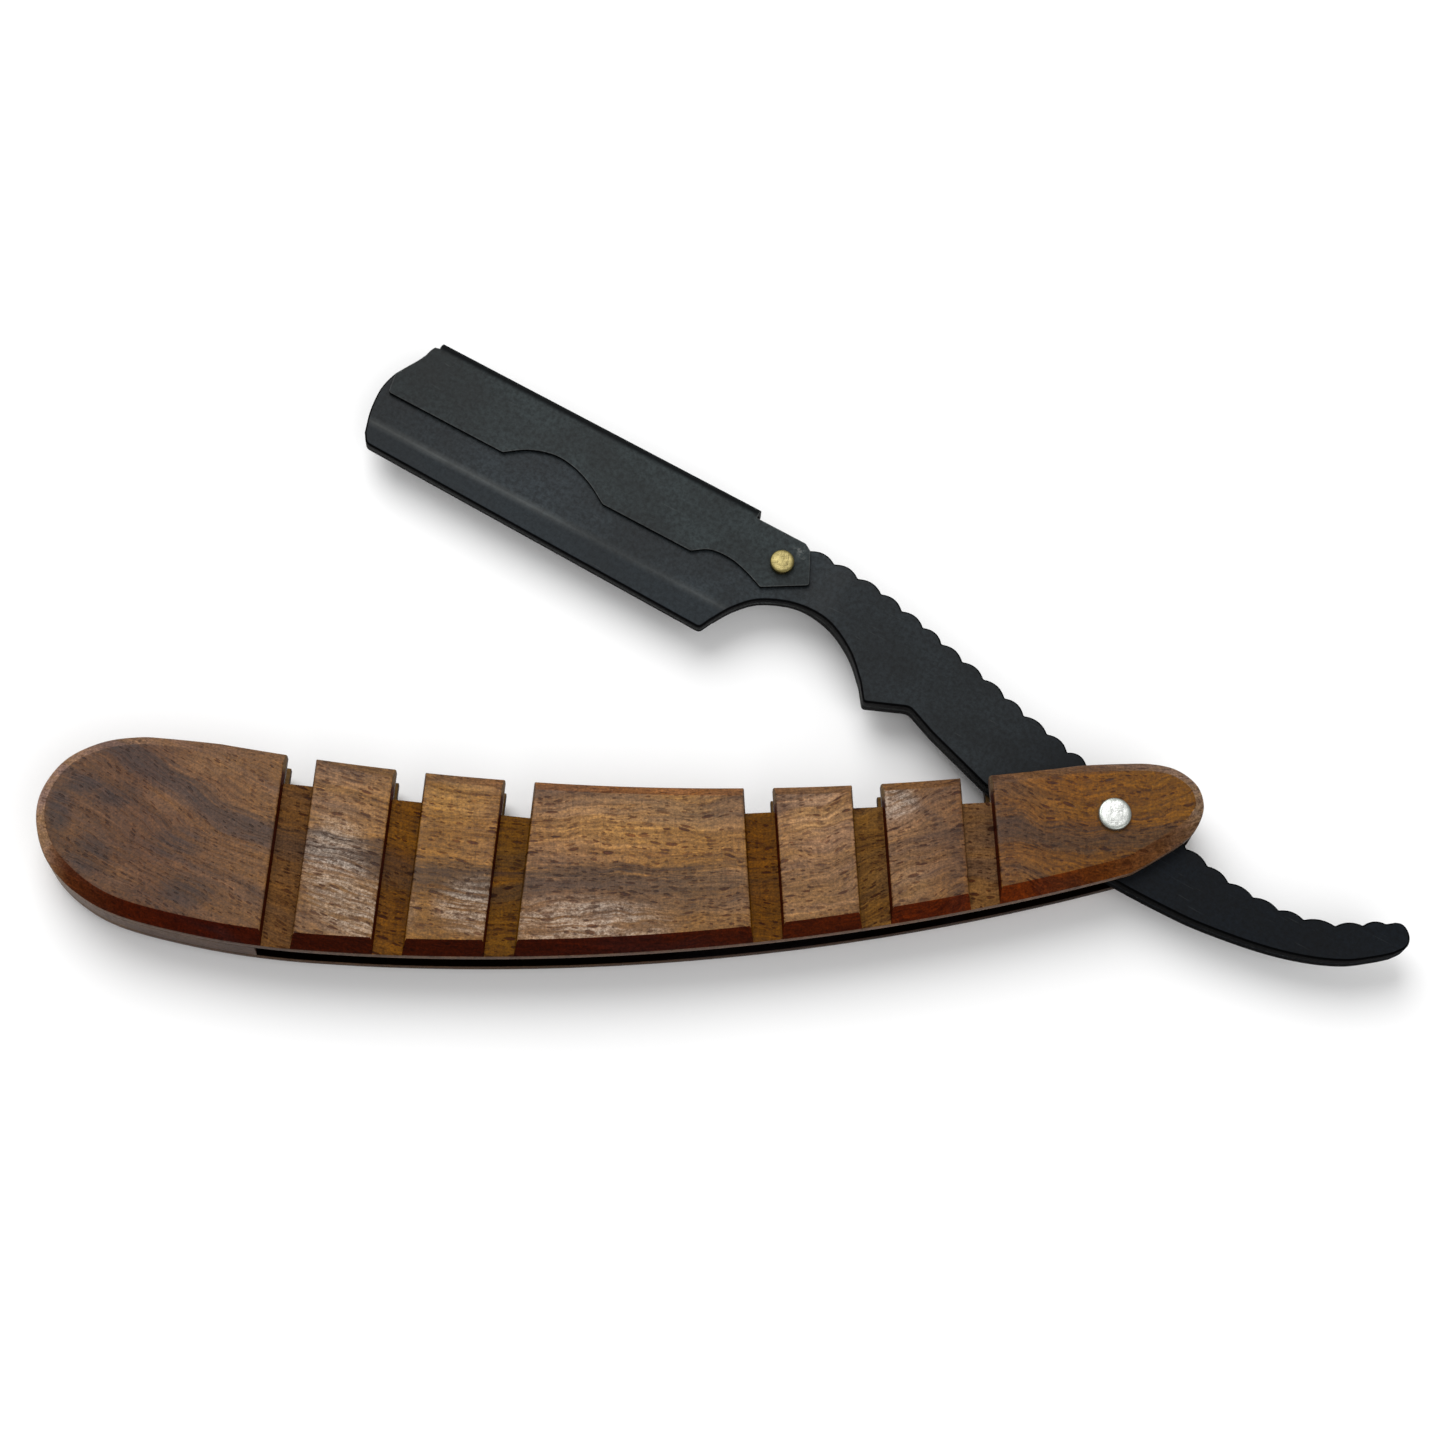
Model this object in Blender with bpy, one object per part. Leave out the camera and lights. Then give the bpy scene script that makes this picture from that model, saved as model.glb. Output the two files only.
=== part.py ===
"""Straight razor with a folding arm, a grooved two-scale handle and a pivoting cover.

Units are metres in the scene; every length below is in millimetres and is
turned into metres when a mesh is made.  The pivot axis of the arm is the line
x = y = 0 along Z, and the razor lies on the plane z = 0.
"""

import math

import bpy
from mathutils import Vector

MM = 0.001

# Stack of the handle along Z
REAR_HEAD = 0.6
SCALE_THICK = 2.8
SLOT_WIDTH = 3.9
REAR_OUTER = REAR_HEAD
REAR_INNER = REAR_OUTER + SCALE_THICK
FRONT_INNER = REAR_INNER + SLOT_WIDTH
FRONT_OUTER = FRONT_INNER + SCALE_THICK
MID = 0.5 * (REAR_INNER + FRONT_INNER)
CONTACT_GAP = 0.1

# Handle outline: two long arcs joined by a butt curve and a pivot-end curve
TOP_ARC_X = -50.5
TOP_ARC_Y = 3.42
TOP_ARC_RADIUS = 342.0
TOP_ARC_FROM = -4.0
TOP_ARC_TO = -111.0
LOW_ARC_X = -79.1
LOW_ARC_Y = -18.05
LOW_ARC_RADIUS = 306.5
LOW_ARC_FROM = -94.0
LOW_ARC_TO = 2.0
LONG_ARC_STEPS = 16
PIVOT_END = [(6.5, -4.55), (9.6, -2.4), (11.05, -0.2), (11.4, 1.9), (10.6, 4.2), (8.2, 6.1),
             (5.0, 6.85), (1.0, 6.85)]
BUTT_END = [(-117.8, 9.5), (-121.5, 9.65), (-126.0, 8.9), (-130.3, 6.6), (-133.0, 2.6),
            (-133.4, -1.6), (-131.9, -6.2), (-128.2, -10.15), (-122.7, -13.1),
            (-112.8, -15.6), (-103.5, -17.0)]

# Edge break of the outer face, wider along the lower edge
CHAMFER_IN = 1.1
CHAMFER_DEEP = 0.7
LOW_CHAMFER_IN = 1.8
LOW_CHAMFER_DEEP = 1.3
CHAMFER_BLEND_FROM = 0.1
CHAMFER_BLEND_SPAN = 0.6

# Cross grooves: top centre x, top centre y, notch depth
LEFT_GROOVES = [(-101.13, 7.0, 3.25), (-87.58, 5.15, 3.4), (-74.03, 3.9, 4.1)]
RIGHT_GROOVES = [(-44.28, 3.2, 2.75), (-30.78, 3.8, 2.6), (-17.15, 4.85, 3.0)]
LEFT_LEAN = math.radians(6.0)
RIGHT_LEAN = math.radians(-3.0)
GROOVE_WIDTH = 4.15
GROOVE_DEEP = 1.3
GROOVE_WALL = math.radians(12.0)
GROOVE_REACH = 30.0
NOTCH_WIDTH = 3.7

# Straight end of the spacer that closes the butt end of the slot
SPACER_END_LOW = (-106.3, -16.9)
SPACER_END_TOP = (-111.6, 8.6)

# Arm
ARM_REST_ANGLE = math.radians(-29.0)
TANG_HALF = 1.75
HEAD_HALF = 1.2
TAPER_FROM = -48.4
TAPER_TO = -43.0
CREASE_V = 1.15
CREASE_DROP = 0.12
EDGE_V = -2.6
EDGE_RUN = [(-107.3, -1.25), (-106.4, -1.7), (-105.3, -1.85), (-58.5, -2.65), (-57.6, -2.45),
            (-57.0, -1.7)]
FINGER_NOTCH = [(-56.6, -0.95), (-54.85, 1.95), (-52.3, 4.45), (-47.95, 6.15), (-43.5, 5.93),
                (-39.45, 3.92), (-36.55, 1.25), (-35.3, -0.3)]
TANG_STEP = [(-34.8, -0.85), (-34.15, -1.15), (-33.4, -1.0), (-29.8, 0.6), (-28.3, 0.62),
             (-27.0, 0.1)]
TAIL_LOW = [(-16.05, -3.5), (-4.0, -6.0), (4.0, -6.62), (11.5, -6.6), (16.2, -6.3), (23.4, -5.2),
            (29.0, -3.72), (33.6, -1.75), (36.75, 0.5), (38.5, 2.0)]
TAIL_TIP = [(39.4, 3.2), (39.65, 4.0), (39.45, 4.85), (38.95, 5.5), (38.3, 5.93), (37.65, 6.03),
            (37.0, 5.8)]
TOP_VALLEYS = [(36.05, 5.05), (33.6, 3.45), (30.6, 1.7), (26.8, 0.5), (23.5, 0.05), (20.0, 0.0),
               (16.5, 0.15), (13.2, 0.8), (9.9, 1.5), (6.7, 2.25), (3.5, 3.0), (0.3, 3.7),
               (-2.9, 4.4), (-6.0, 5.1), (-8.9, 5.4), (-12.2, 6.3), (-15.9, 7.0), (-19.1, 7.9),
               (-22.6, 8.8), (-26.0, 9.55), (-29.4, 10.35), (-32.5, 11.15), (-35.9, 11.8),
               (-39.25, 12.55), (-42.85, 12.9), (-46.45, 13.3), (-50.0, 13.45)]
SCALLOP_RISE = 0.6
TAIL_SCALLOP_RISE = 0.45
RISE_SPAN = 12.0
SCALLOP_STEPS = 4
ARM_SPINE = [(-51.0, 13.75), (-105.9, 13.75)]
TOE = [(-106.15, 12.6), (-107.0, 11.2), (-107.85, 9.75), (-108.65, 8.3), (-109.15, 5.7),
       (-108.8, 2.5), (-107.9, -0.5)]

# Cover: a sheet folded over the spine of the head
SHEET = 0.5
COVER_HALF = 1.8
COVER_SPACE_MIN = -70.0
FOLD_V = 15.1
FOLD_FROM = -105.15
FOLD_TO = -58.0
COVER_TOE = [(-105.2, 14.1), (-105.8, 13.9), (-106.05, 13.3), (-106.3, 12.3), (-106.85, 11.1),
             (-107.65, 9.65), (-108.4, 8.2), (-107.9, 5.55)]
COVER_ARCH_1 = [(-90.9, 5.55), (-88.1, 7.5), (-84.9, 8.5), (-82.0, 8.3), (-79.1, 7.3),
                (-76.2, 5.65)]
COVER_ARCH_2 = [(-63.3, 5.65), (-61.2, 7.0), (-58.5, 7.25), (-55.9, 6.7), (-53.2, 5.7)]
COVER_TAB = [(-47.8, 9.0), (-49.9, 13.2), (-50.9, 13.8), (-57.7, 13.8)]

# Rivets, studs and their holes
PIVOT_SHANK_R = 1.2
PIVOT_HOLE_R = 1.4
PIVOT_HEAD_R = 2.07
PIVOT_HEAD_RISE = 0.8
COVER_RIVET_U = -52.3
COVER_RIVET_V = 9.9
COVER_SHANK_R = 0.8
COVER_HOLE_R = 1.0
COVER_HEAD_R = 1.55
COVER_HEAD_RISE = 0.95
STUD_R = 0.9
STUD_HOLE_R = 1.1
STUD_V = 8.9
STUD_TOE_U = -99.5
STUD_HEEL_U = -69.5

ROUND_STEPS = 32
SMALL_ROUND_STEPS = 24
SMOOTH_ANGLE = math.radians(35.0)
CUTTER_REACH = 20.0
CUTTER_U_MIN = -130.0
CUTTER_V_MIN = -15.0
CUTTER_V_MAX = 25.0
CUTTER_TOP = 6.0
HEEL_U = -50.5
NOTCH_CLEAR = 1.0
HEAD_RIM = 0.25
STUD_RIM = 0.2


def clear_scene():
    for item in list(bpy.data.objects):
        bpy.data.objects.remove(item, do_unlink=True)


def material(name, colour, metallic, roughness):
    mat = bpy.data.materials.new(name)
    mat.use_nodes = True
    shader = mat.node_tree.nodes["Principled BSDF"]
    shader.inputs["Base Color"].default_value = (*colour, 1.0)
    shader.inputs["Metallic"].default_value = metallic
    shader.inputs["Roughness"].default_value = roughness
    mat.diffuse_color = (*colour, 1.0)
    return mat


def mesh_object(name, verts, faces, mat=None, parent=None):
    mesh = bpy.data.meshes.new(name)
    mesh.from_pydata([Vector(v) * MM for v in verts], [], faces)
    if mat is not None:
        mesh.materials.append(mat)
    obj = bpy.data.objects.new(name, mesh)
    bpy.context.scene.collection.objects.link(obj)
    obj.parent = parent
    return obj


def shade(obj):
    for poly in obj.data.polygons:
        poly.use_smooth = True
    obj.data.set_sharp_from_angle(angle=SMOOTH_ANGLE)


def empty(name, location, angle=0.0, parent=None):
    obj = bpy.data.objects.new(name, None)
    bpy.context.scene.collection.objects.link(obj)
    obj.parent = parent
    obj.location = Vector(location) * MM
    obj.rotation_euler = (0.0, 0.0, angle)
    return obj


def spline(points, steps):
    """Smooth curve through the inner points; the two end points only steer it."""
    out = []
    for i in range(1, len(points) - 2):
        p0, p1, p2, p3 = points[i - 1], points[i], points[i + 1], points[i + 2]
        for k in range(steps):
            t = k / steps
            out.append(tuple(
                0.5 * (2 * b + (c - a) * t + (2 * a - 5 * b + 4 * c - d) * t * t
                       + (3 * b - a - 3 * c + d) * t ** 3)
                for a, b, c, d in zip(p0, p1, p2, p3)))
    out.append(points[-2])
    return out


def through(points, steps):
    """Smooth curve from the first to the last of the given points."""
    first = tuple(2 * a - b for a, b in zip(points[0], points[1]))
    last = tuple(2 * a - b for a, b in zip(points[-1], points[-2]))
    return spline([first] + list(points) + [last], steps)


def long_arc(centre_x, edge_y, radius, x_from, x_to):
    """Points of a shallow circular arc that bows downwards."""
    out = []
    for k in range(LONG_ARC_STEPS + 1):
        x = x_from + (x_to - x_from) * k / LONG_ARC_STEPS
        rise = radius - math.sqrt(radius ** 2 - (x - centre_x) ** 2)
        out.append((x, edge_y + rise))
    return out


def signed_area(outline):
    total = 0.0
    for (x0, y0), (x1, y1) in zip(outline, outline[1:] + outline[:1]):
        total += x0 * y1 - x1 * y0
    return 0.5 * total


def anticlockwise(outline):
    if signed_area(outline) < 0:
        return outline[::-1]
    return outline


def prism_data(outline, z_low, z_high):
    outline = anticlockwise(outline)
    count = len(outline)
    verts = [(x, y, z_low) for x, y in outline] + [(x, y, z_high) for x, y in outline]
    faces = [tuple(range(count))[::-1], tuple(range(count, 2 * count))]
    for i in range(count):
        j = (i + 1) % count
        faces.append((i, j, count + j, count + i))
    return verts, faces


def prism(name, outline, z_low, z_high, mat=None, parent=None):
    verts, faces = prism_data(outline, z_low, z_high)
    return mesh_object(name, verts, faces, mat, parent)


def lathe(name, profile, centre, steps, mat=None, parent=None):
    """Turn (radius, height) points about Z; the first and last lie on the axis."""
    cx, cy = centre
    inner = profile[1:-1]
    verts = [(cx, cy, profile[0][1])]
    for radius, height in inner:
        for k in range(steps):
            angle = 2 * math.pi * k / steps
            verts.append((cx + radius * math.cos(angle), cy + radius * math.sin(angle), height))
    verts.append((cx, cy, profile[-1][1]))
    last = len(verts) - 1
    faces = []
    for k in range(steps):
        n = (k + 1) % steps
        faces.append((0, 1 + n, 1 + k))
        for ring in range(len(inner) - 1):
            a = 1 + ring * steps
            b = a + steps
            faces.append((a + k, a + n, b + n, b + k))
        top = 1 + (len(inner) - 1) * steps
        faces.append((last, top + k, top + n))
    obj = mesh_object(name, verts, faces, mat, parent)
    shade(obj)
    return obj


def as_cutter(obj):
    obj.hide_render = True
    obj.display_type = 'WIRE'
    return obj


def hole_cutter(name, centre, radius, parent=None):
    low = MID - CUTTER_REACH
    high = MID + CUTTER_REACH
    profile = [(0.0, low), (radius, low), (radius, high), (0.0, high)]
    return as_cutter(lathe(name, profile, centre, SMALL_ROUND_STEPS, None, parent))


def subtract(obj, cutters):
    for cutter in cutters:
        mod = obj.modifiers.new(cutter.name, 'BOOLEAN')
        mod.operation = 'DIFFERENCE'
        mod.solver = 'EXACT'
        mod.object = cutter


def handle_outline():
    top = long_arc(TOP_ARC_X, TOP_ARC_Y, TOP_ARC_RADIUS, TOP_ARC_FROM, TOP_ARC_TO)
    low = long_arc(LOW_ARC_X, LOW_ARC_Y, LOW_ARC_RADIUS, LOW_ARC_FROM, LOW_ARC_TO)
    butt = spline([top[-2], top[-1]] + BUTT_END + [low[0], low[1]], 3)
    pivot_end = spline([low[-2], low[-1]] + PIVOT_END + [top[0], top[1]], 4)
    return anticlockwise(top[:-1] + butt[:-1] + low[:-1] + pivot_end[:-1])


def inward(outline):
    """Unit inward normal at every point of an anticlockwise outline."""
    out = []
    for before, after in zip(outline[-1:] + outline[:-1], outline[1:] + outline[:1]):
        run = Vector((after[0] - before[0], after[1] - before[1])).normalized()
        out.append((-run.y, run.x))
    return out


def chamfer_at(normal):
    """Inset and depth of the edge break for a point with this inward normal."""
    blend = (normal[1] - CHAMFER_BLEND_FROM) / CHAMFER_BLEND_SPAN
    blend = min(max(blend, 0.0), 1.0)
    inset = CHAMFER_IN + (LOW_CHAMFER_IN - CHAMFER_IN) * blend
    deep = CHAMFER_DEEP + (LOW_CHAMFER_DEEP - CHAMFER_DEEP) * blend
    return inset, deep


def scale_body(name, outline, z_inner, z_outer, mat):
    facing = 1.0 if z_outer > z_inner else -1.0
    count = len(outline)
    edge = []
    face = []
    for (x, y), normal in zip(outline, inward(outline)):
        inset, deep = chamfer_at(normal)
        edge.append((x, y, z_outer - facing * deep))
        face.append((x + inset * normal[0], y + inset * normal[1], z_outer))
    verts = [(x, y, z_inner) for x, y in outline] + edge + face
    faces = [tuple(range(count))[::-1], tuple(range(2 * count, 3 * count))]
    for ring in (0, count):
        for i in range(count):
            j = (i + 1) % count
            faces.append((ring + i, ring + j, ring + count + j, ring + count + i))
    if facing < 0:
        faces = [f[::-1] for f in faces]
    return mesh_object(name, verts, faces, mat)


def groove_points(x, y, lean, along, across):
    """Plan position at a distance along and across a groove from its top centre."""
    return (x + along * math.sin(lean) + across * math.cos(lean),
            y + along * math.cos(lean) - across * math.sin(lean))


def all_grooves():
    left = [(x, y, deep, LEFT_LEAN) for x, y, deep in LEFT_GROOVES]
    right = [(x, y, deep, RIGHT_LEAN) for x, y, deep in RIGHT_GROOVES]
    return left + right


def groove_cutter(name, z_outer, facing):
    verts = []
    faces = []
    over = NOTCH_CLEAR
    floor_half = 0.5 * GROOVE_WIDTH - GROOVE_DEEP * math.tan(GROOVE_WALL)
    top_half = 0.5 * GROOVE_WIDTH + over * math.tan(GROOVE_WALL)
    for x, y, _, lean in all_grooves():
        base = len(verts)
        for along in (-GROOVE_REACH, GROOVE_REACH):
            for half, z in ((floor_half, z_outer - facing * GROOVE_DEEP),
                            (top_half, z_outer + facing * over)):
                for sign in (-1, 1):
                    verts.append((*groove_points(x, y, lean, along, sign * half), z))
        box = [(0, 1, 3, 2), (4, 6, 7, 5), (0, 4, 5, 1), (2, 3, 7, 6), (0, 2, 6, 4), (1, 5, 7, 3)]
        if facing < 0:
            box = [f[::-1] for f in box]
        faces += [tuple(base + i for i in f) for f in box]
    return as_cutter(mesh_object(name, verts, faces))


def notch_cutter(name, z_low, z_high):
    verts = []
    faces = []
    half = 0.5 * NOTCH_WIDTH
    for x, y, deep, lean in all_grooves():
        plan = [groove_points(x, y, lean, -deep, -half), groove_points(x, y, lean, -deep, half),
                groove_points(x, y, lean, deep, half), groove_points(x, y, lean, deep, -half)]
        more, box = prism_data(plan, z_low, z_high)
        faces += [tuple(len(verts) + i for i in f) for f in box]
        verts += more
    return as_cutter(mesh_object(name, verts, faces))


def clip_left(outline, point, direction):
    """Part of a closed outline on the left of a line."""
    def side(p):
        return direction[0] * (p[1] - point[1]) - direction[1] * (p[0] - point[0])
    out = []
    for a, b in zip(outline, outline[1:] + outline[:1]):
        sa, sb = side(a), side(b)
        if sa >= 0:
            out.append(a)
        if sa * sb < 0:
            t = sa / (sa - sb)
            out.append((a[0] + t * (b[0] - a[0]), a[1] + t * (b[1] - a[1])))
    return out


def build_handle():
    outline = handle_outline()
    wood_front = material("wood_front", (0.28, 0.18, 0.11), 0.0, 0.45)
    wood_rear = material("wood_rear", (0.27, 0.17, 0.10), 0.0, 0.45)
    wood_butt = material("wood_butt", (0.22, 0.15, 0.10), 0.0, 0.5)
    bore = hole_cutter("cut_scale_bore", (0.0, 0.0), PIVOT_HOLE_R)
    notches = notch_cutter("cut_notches", REAR_OUTER - NOTCH_CLEAR, FRONT_OUTER + NOTCH_CLEAR)
    front = scale_body("front_scale", outline, FRONT_INNER, FRONT_OUTER, wood_front)
    rear = scale_body("rear_scale", outline, REAR_INNER, REAR_OUTER, wood_rear)
    subtract(front, [groove_cutter("cut_front_grooves", FRONT_OUTER, 1.0), notches, bore])
    subtract(rear, [groove_cutter("cut_rear_grooves", REAR_OUTER, -1.0), notches, bore])
    direction = (SPACER_END_TOP[0] - SPACER_END_LOW[0], SPACER_END_TOP[1] - SPACER_END_LOW[1])
    plan = clip_left(outline, SPACER_END_LOW, direction)
    prism("butt_spacer", plan, REAR_INNER + CONTACT_GAP, FRONT_INNER - CONTACT_GAP, wood_butt)


def build_pivot_rivet():
    steel = material("pivot_steel", (0.75, 0.75, 0.74), 1.0, 0.3)
    rim = HEAD_RIM
    top = FRONT_OUTER + PIVOT_HEAD_RISE
    profile = [
        (0.0, 0.0), (PIVOT_HEAD_R - rim, 0.0), (PIVOT_HEAD_R, 0.5 * rim),
        (PIVOT_HEAD_R, REAR_OUTER - CONTACT_GAP), (PIVOT_SHANK_R, REAR_OUTER - CONTACT_GAP),
        (PIVOT_SHANK_R, FRONT_OUTER + CONTACT_GAP), (PIVOT_HEAD_R, FRONT_OUTER + CONTACT_GAP),
        (PIVOT_HEAD_R, top - rim), (PIVOT_HEAD_R - 0.3 * rim, top - 0.3 * rim),
        (PIVOT_HEAD_R - rim, top), (0.0, top)]
    lathe("pivot_rivet", profile, (0.0, 0.0), ROUND_STEPS, steel)


def scallops(valleys):
    """Convex crests between neighbouring valleys of the thumb rest."""
    out = []
    for (x0, y0), (x1, y1) in zip(valleys, valleys[1:]):
        run = Vector((x1 - x0, y1 - y0))
        share = min(max(x0 / RISE_SPAN, 0.0), 1.0)
        height = SCALLOP_RISE + (TAIL_SCALLOP_RISE - SCALLOP_RISE) * share
        rise = Vector((run.y, -run.x)).normalized() * height
        for k in range(SCALLOP_STEPS):
            t = k / SCALLOP_STEPS
            lift = 4 * t * (1 - t)
            out.append((x0 + t * run.x + lift * rise.x, y0 + t * run.y + lift * rise.y))
    out.append(valleys[-1])
    return out


def arm_outline():
    notch = through(FINGER_NOTCH, 3)
    tail = through(TAIL_LOW, 3)[:-1] + through([TAIL_LOW[-1]] + TAIL_TIP, 2)
    toe = through(TOE, 2)
    return EDGE_RUN + notch + TANG_STEP + tail + scallops(TOP_VALLEYS) + ARM_SPINE + toe


def taper_cutter(name, facing, parent):
    """Removes the outer face where the arm thins from the tang to the head."""
    slope = (TANG_HALF - HEAD_HALF) / (TAPER_TO - TAPER_FROM)
    far = TAPER_TO + 4.0
    side = [(CUTTER_U_MIN, HEAD_HALF), (TAPER_FROM, HEAD_HALF),
            (far, TANG_HALF + slope * (far - TAPER_TO)), (far, CUTTER_TOP),
            (CUTTER_U_MIN, CUTTER_TOP)]
    verts = []
    for v in (CUTTER_V_MIN, CUTTER_V_MAX):
        verts += [(u, v, MID + facing * z) for u, z in side]
    n = len(side)
    faces = [tuple(range(n)), tuple(range(n, 2 * n))[::-1]]
    faces += [(i, n + i, n + (i + 1) % n, (i + 1) % n) for i in range(n)]
    if facing < 0:
        faces = [f[::-1] for f in faces]
    return as_cutter(mesh_object(name, verts, faces, None, parent))


def crease_cutter(name, facing, parent):
    """Shallow bevel from the crease down to the lower edge of the head."""
    slope = CREASE_DROP / (CREASE_V - EDGE_V)
    high = CREASE_V + 2.0
    side = [(CUTTER_V_MIN, HEAD_HALF + slope * (CUTTER_V_MIN - CREASE_V)),
            (high, HEAD_HALF + slope * (high - CREASE_V)), (high, CUTTER_TOP),
            (CUTTER_V_MIN, CUTTER_TOP)]
    verts = []
    for u in (CUTTER_U_MIN, HEEL_U):
        verts += [(u, v, MID + facing * z) for v, z in side]
    n = len(side)
    faces = [tuple(range(n))[::-1], tuple(range(n, 2 * n))]
    faces += [(i, (i + 1) % n, n + (i + 1) % n, n + i) for i in range(n)]
    if facing < 0:
        faces = [f[::-1] for f in faces]
    return as_cutter(mesh_object(name, verts, faces, None, parent))


def build_arm(arm_axis):
    outline = arm_outline()
    holes = [
        hole_cutter("cut_arm_bore", (0.0, 0.0), PIVOT_HOLE_R, arm_axis),
        hole_cutter("cut_cover_bore", (COVER_RIVET_U, COVER_RIVET_V), COVER_HOLE_R, arm_axis),
        hole_cutter("cut_stud_toe", (STUD_TOE_U, STUD_V), STUD_HOLE_R, arm_axis),
        hole_cutter("cut_stud_heel", (STUD_HEEL_U, STUD_V), STUD_HOLE_R, arm_axis)]
    for name, facing in (("arm_front_plate", 1.0), ("arm_rear_plate", -1.0)):
        coat = material(name + "_coat", (0.03, 0.035, 0.04), 0.4, 0.45)
        near = MID + facing * 0.5 * CONTACT_GAP
        far = MID + facing * TANG_HALF
        plate = prism(name, outline, min(near, far), max(near, far), coat, arm_axis)
        taper = taper_cutter("cut_taper_" + name, facing, arm_axis)
        crease = crease_cutter("cut_crease_" + name, facing, arm_axis)
        subtract(plate, [taper, crease] + holes)


def build_studs(arm_axis):
    steel = material("stud_steel", (0.6, 0.6, 0.6), 1.0, 0.35)
    low = MID - HEAD_HALF + CONTACT_GAP
    high = MID + HEAD_HALF - CONTACT_GAP
    for name, u in (("blade_stud_toe", STUD_TOE_U), ("blade_stud_heel", STUD_HEEL_U)):
        profile = [(0.0, low), (STUD_R, low), (STUD_R, high - STUD_RIM), (STUD_R - STUD_RIM, high),
                   (0.0, high)]
        lathe(name, profile, (u, STUD_V), SMALL_ROUND_STEPS, steel, arm_axis)


def cover_outline():
    arch_1 = through(COVER_ARCH_1, 3)
    arch_2 = through(COVER_ARCH_2, 3)
    fold = [(FOLD_TO, FOLD_V), (FOLD_FROM, FOLD_V)]
    return COVER_TOE + arch_1 + arch_2 + COVER_TAB + fold


def build_cover(cover_axis):
    coat = material("cover_coat", (0.035, 0.04, 0.045), 0.4, 0.45)
    plan = [(u - COVER_RIVET_U, v - COVER_RIVET_V) for u, v in cover_outline()]
    cover = prism("cover", plan, MID - COVER_HALF, MID + COVER_HALF, coat, cover_axis)
    inner = FOLD_V - SHEET - COVER_RIVET_V
    space = [(COVER_SPACE_MIN, -CUTTER_REACH), (CUTTER_REACH, -CUTTER_REACH),
             (CUTTER_REACH, inner), (COVER_SPACE_MIN, inner)]
    half = COVER_HALF - SHEET
    slab = as_cutter(prism("cut_cover_space", space, MID - half, MID + half, None, cover_axis))
    bore = hole_cutter("cut_cover_hole", (0.0, 0.0), COVER_HOLE_R, cover_axis)
    subtract(cover, [slab, bore])


def build_cover_rivet(arm_axis):
    brass = material("cover_brass", (0.6, 0.46, 0.2), 1.0, 0.3)
    under = COVER_HALF + CONTACT_GAP
    top = COVER_HALF + COVER_HEAD_RISE
    rim = HEAD_RIM
    half = [(COVER_SHANK_R, under), (COVER_HEAD_R, under), (COVER_HEAD_R, top - rim),
            (COVER_HEAD_R - 0.3 * rim, top - 0.3 * rim), (COVER_HEAD_R - rim, top)]
    profile = [(0.0, MID - top)]
    profile += [(r, MID - h) for r, h in half[::-1]]
    profile += [(r, MID + h) for r, h in half]
    profile += [(0.0, MID + top)]
    lathe("cover_rivet", profile, (COVER_RIVET_U, COVER_RIVET_V), SMALL_ROUND_STEPS, brass,
          arm_axis)


def main():
    clear_scene()
    arm_axis = empty("arm_axis", (0.0, 0.0, 0.0), ARM_REST_ANGLE)
    cover_axis = empty("cover_axis", (COVER_RIVET_U, COVER_RIVET_V, 0.0), 0.0, arm_axis)
    build_handle()
    build_pivot_rivet()
    build_arm(arm_axis)
    build_studs(arm_axis)
    build_cover(cover_axis)
    build_cover_rivet(arm_axis)


main()
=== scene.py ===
"""Straight razor: detailed pieces, materials, floor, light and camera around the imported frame.

Numbers are millimetres until to_object turns a mesh into metres. X runs along the handle toward
the pivot, which is the origin, Y toward the notched edge and Z up from the floor. The arm and the
cover are made with U along the arm and V across it, and are then turned by ARM_REST.
"""
import functools
import math

import bmesh
import bpy
from mathutils import Matrix, Vector


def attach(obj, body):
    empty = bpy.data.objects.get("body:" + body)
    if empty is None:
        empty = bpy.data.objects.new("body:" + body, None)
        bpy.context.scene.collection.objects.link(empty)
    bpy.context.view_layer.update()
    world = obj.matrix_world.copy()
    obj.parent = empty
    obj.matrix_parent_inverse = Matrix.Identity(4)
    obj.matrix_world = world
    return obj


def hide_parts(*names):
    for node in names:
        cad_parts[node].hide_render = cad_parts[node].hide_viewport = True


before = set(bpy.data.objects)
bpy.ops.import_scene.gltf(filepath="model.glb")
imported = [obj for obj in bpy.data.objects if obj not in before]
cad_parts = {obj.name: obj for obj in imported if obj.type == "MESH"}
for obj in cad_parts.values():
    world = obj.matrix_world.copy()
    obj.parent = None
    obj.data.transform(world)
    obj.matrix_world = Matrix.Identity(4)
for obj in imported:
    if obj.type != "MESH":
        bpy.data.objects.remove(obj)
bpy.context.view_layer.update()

MM = 0.001

# ------------------------ handle
# heights of the two scales' faces and of the middle between the scales
REAR_OUTER = 0.6
REAR_INNER = 3.4
FRONT_INNER = 7.3
FRONT_OUTER = 10.1
MID = 5.35

# long edges as arcs: x and y of the lowest point, and radius
TOP_ARC = (-50.5, 3.42, 342.0)
LOW_ARC = (-79.1, -18.05, 306.5)
TOP_FROM = -4.0
TOP_TO = -111.0
LOW_FROM = -94.0
LOW_TO = 2.0
LOW_STEPS = 60
PIVOT_END = [(6.5, -4.55), (9.6, -2.4), (11.05, -0.2), (11.4, 1.9), (10.6, 4.2), (8.2, 6.1),
             (5.0, 6.85), (1.0, 6.85)]
BUTT_END = [(-117.8, 9.5), (-121.5, 9.65), (-126.0, 8.9), (-130.3, 6.6), (-133.0, 2.6),
            (-133.4, -1.6), (-131.9, -6.2), (-128.2, -10.15), (-122.7, -13.1),
            (-112.8, -15.6), (-103.5, -17.0)]
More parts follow.
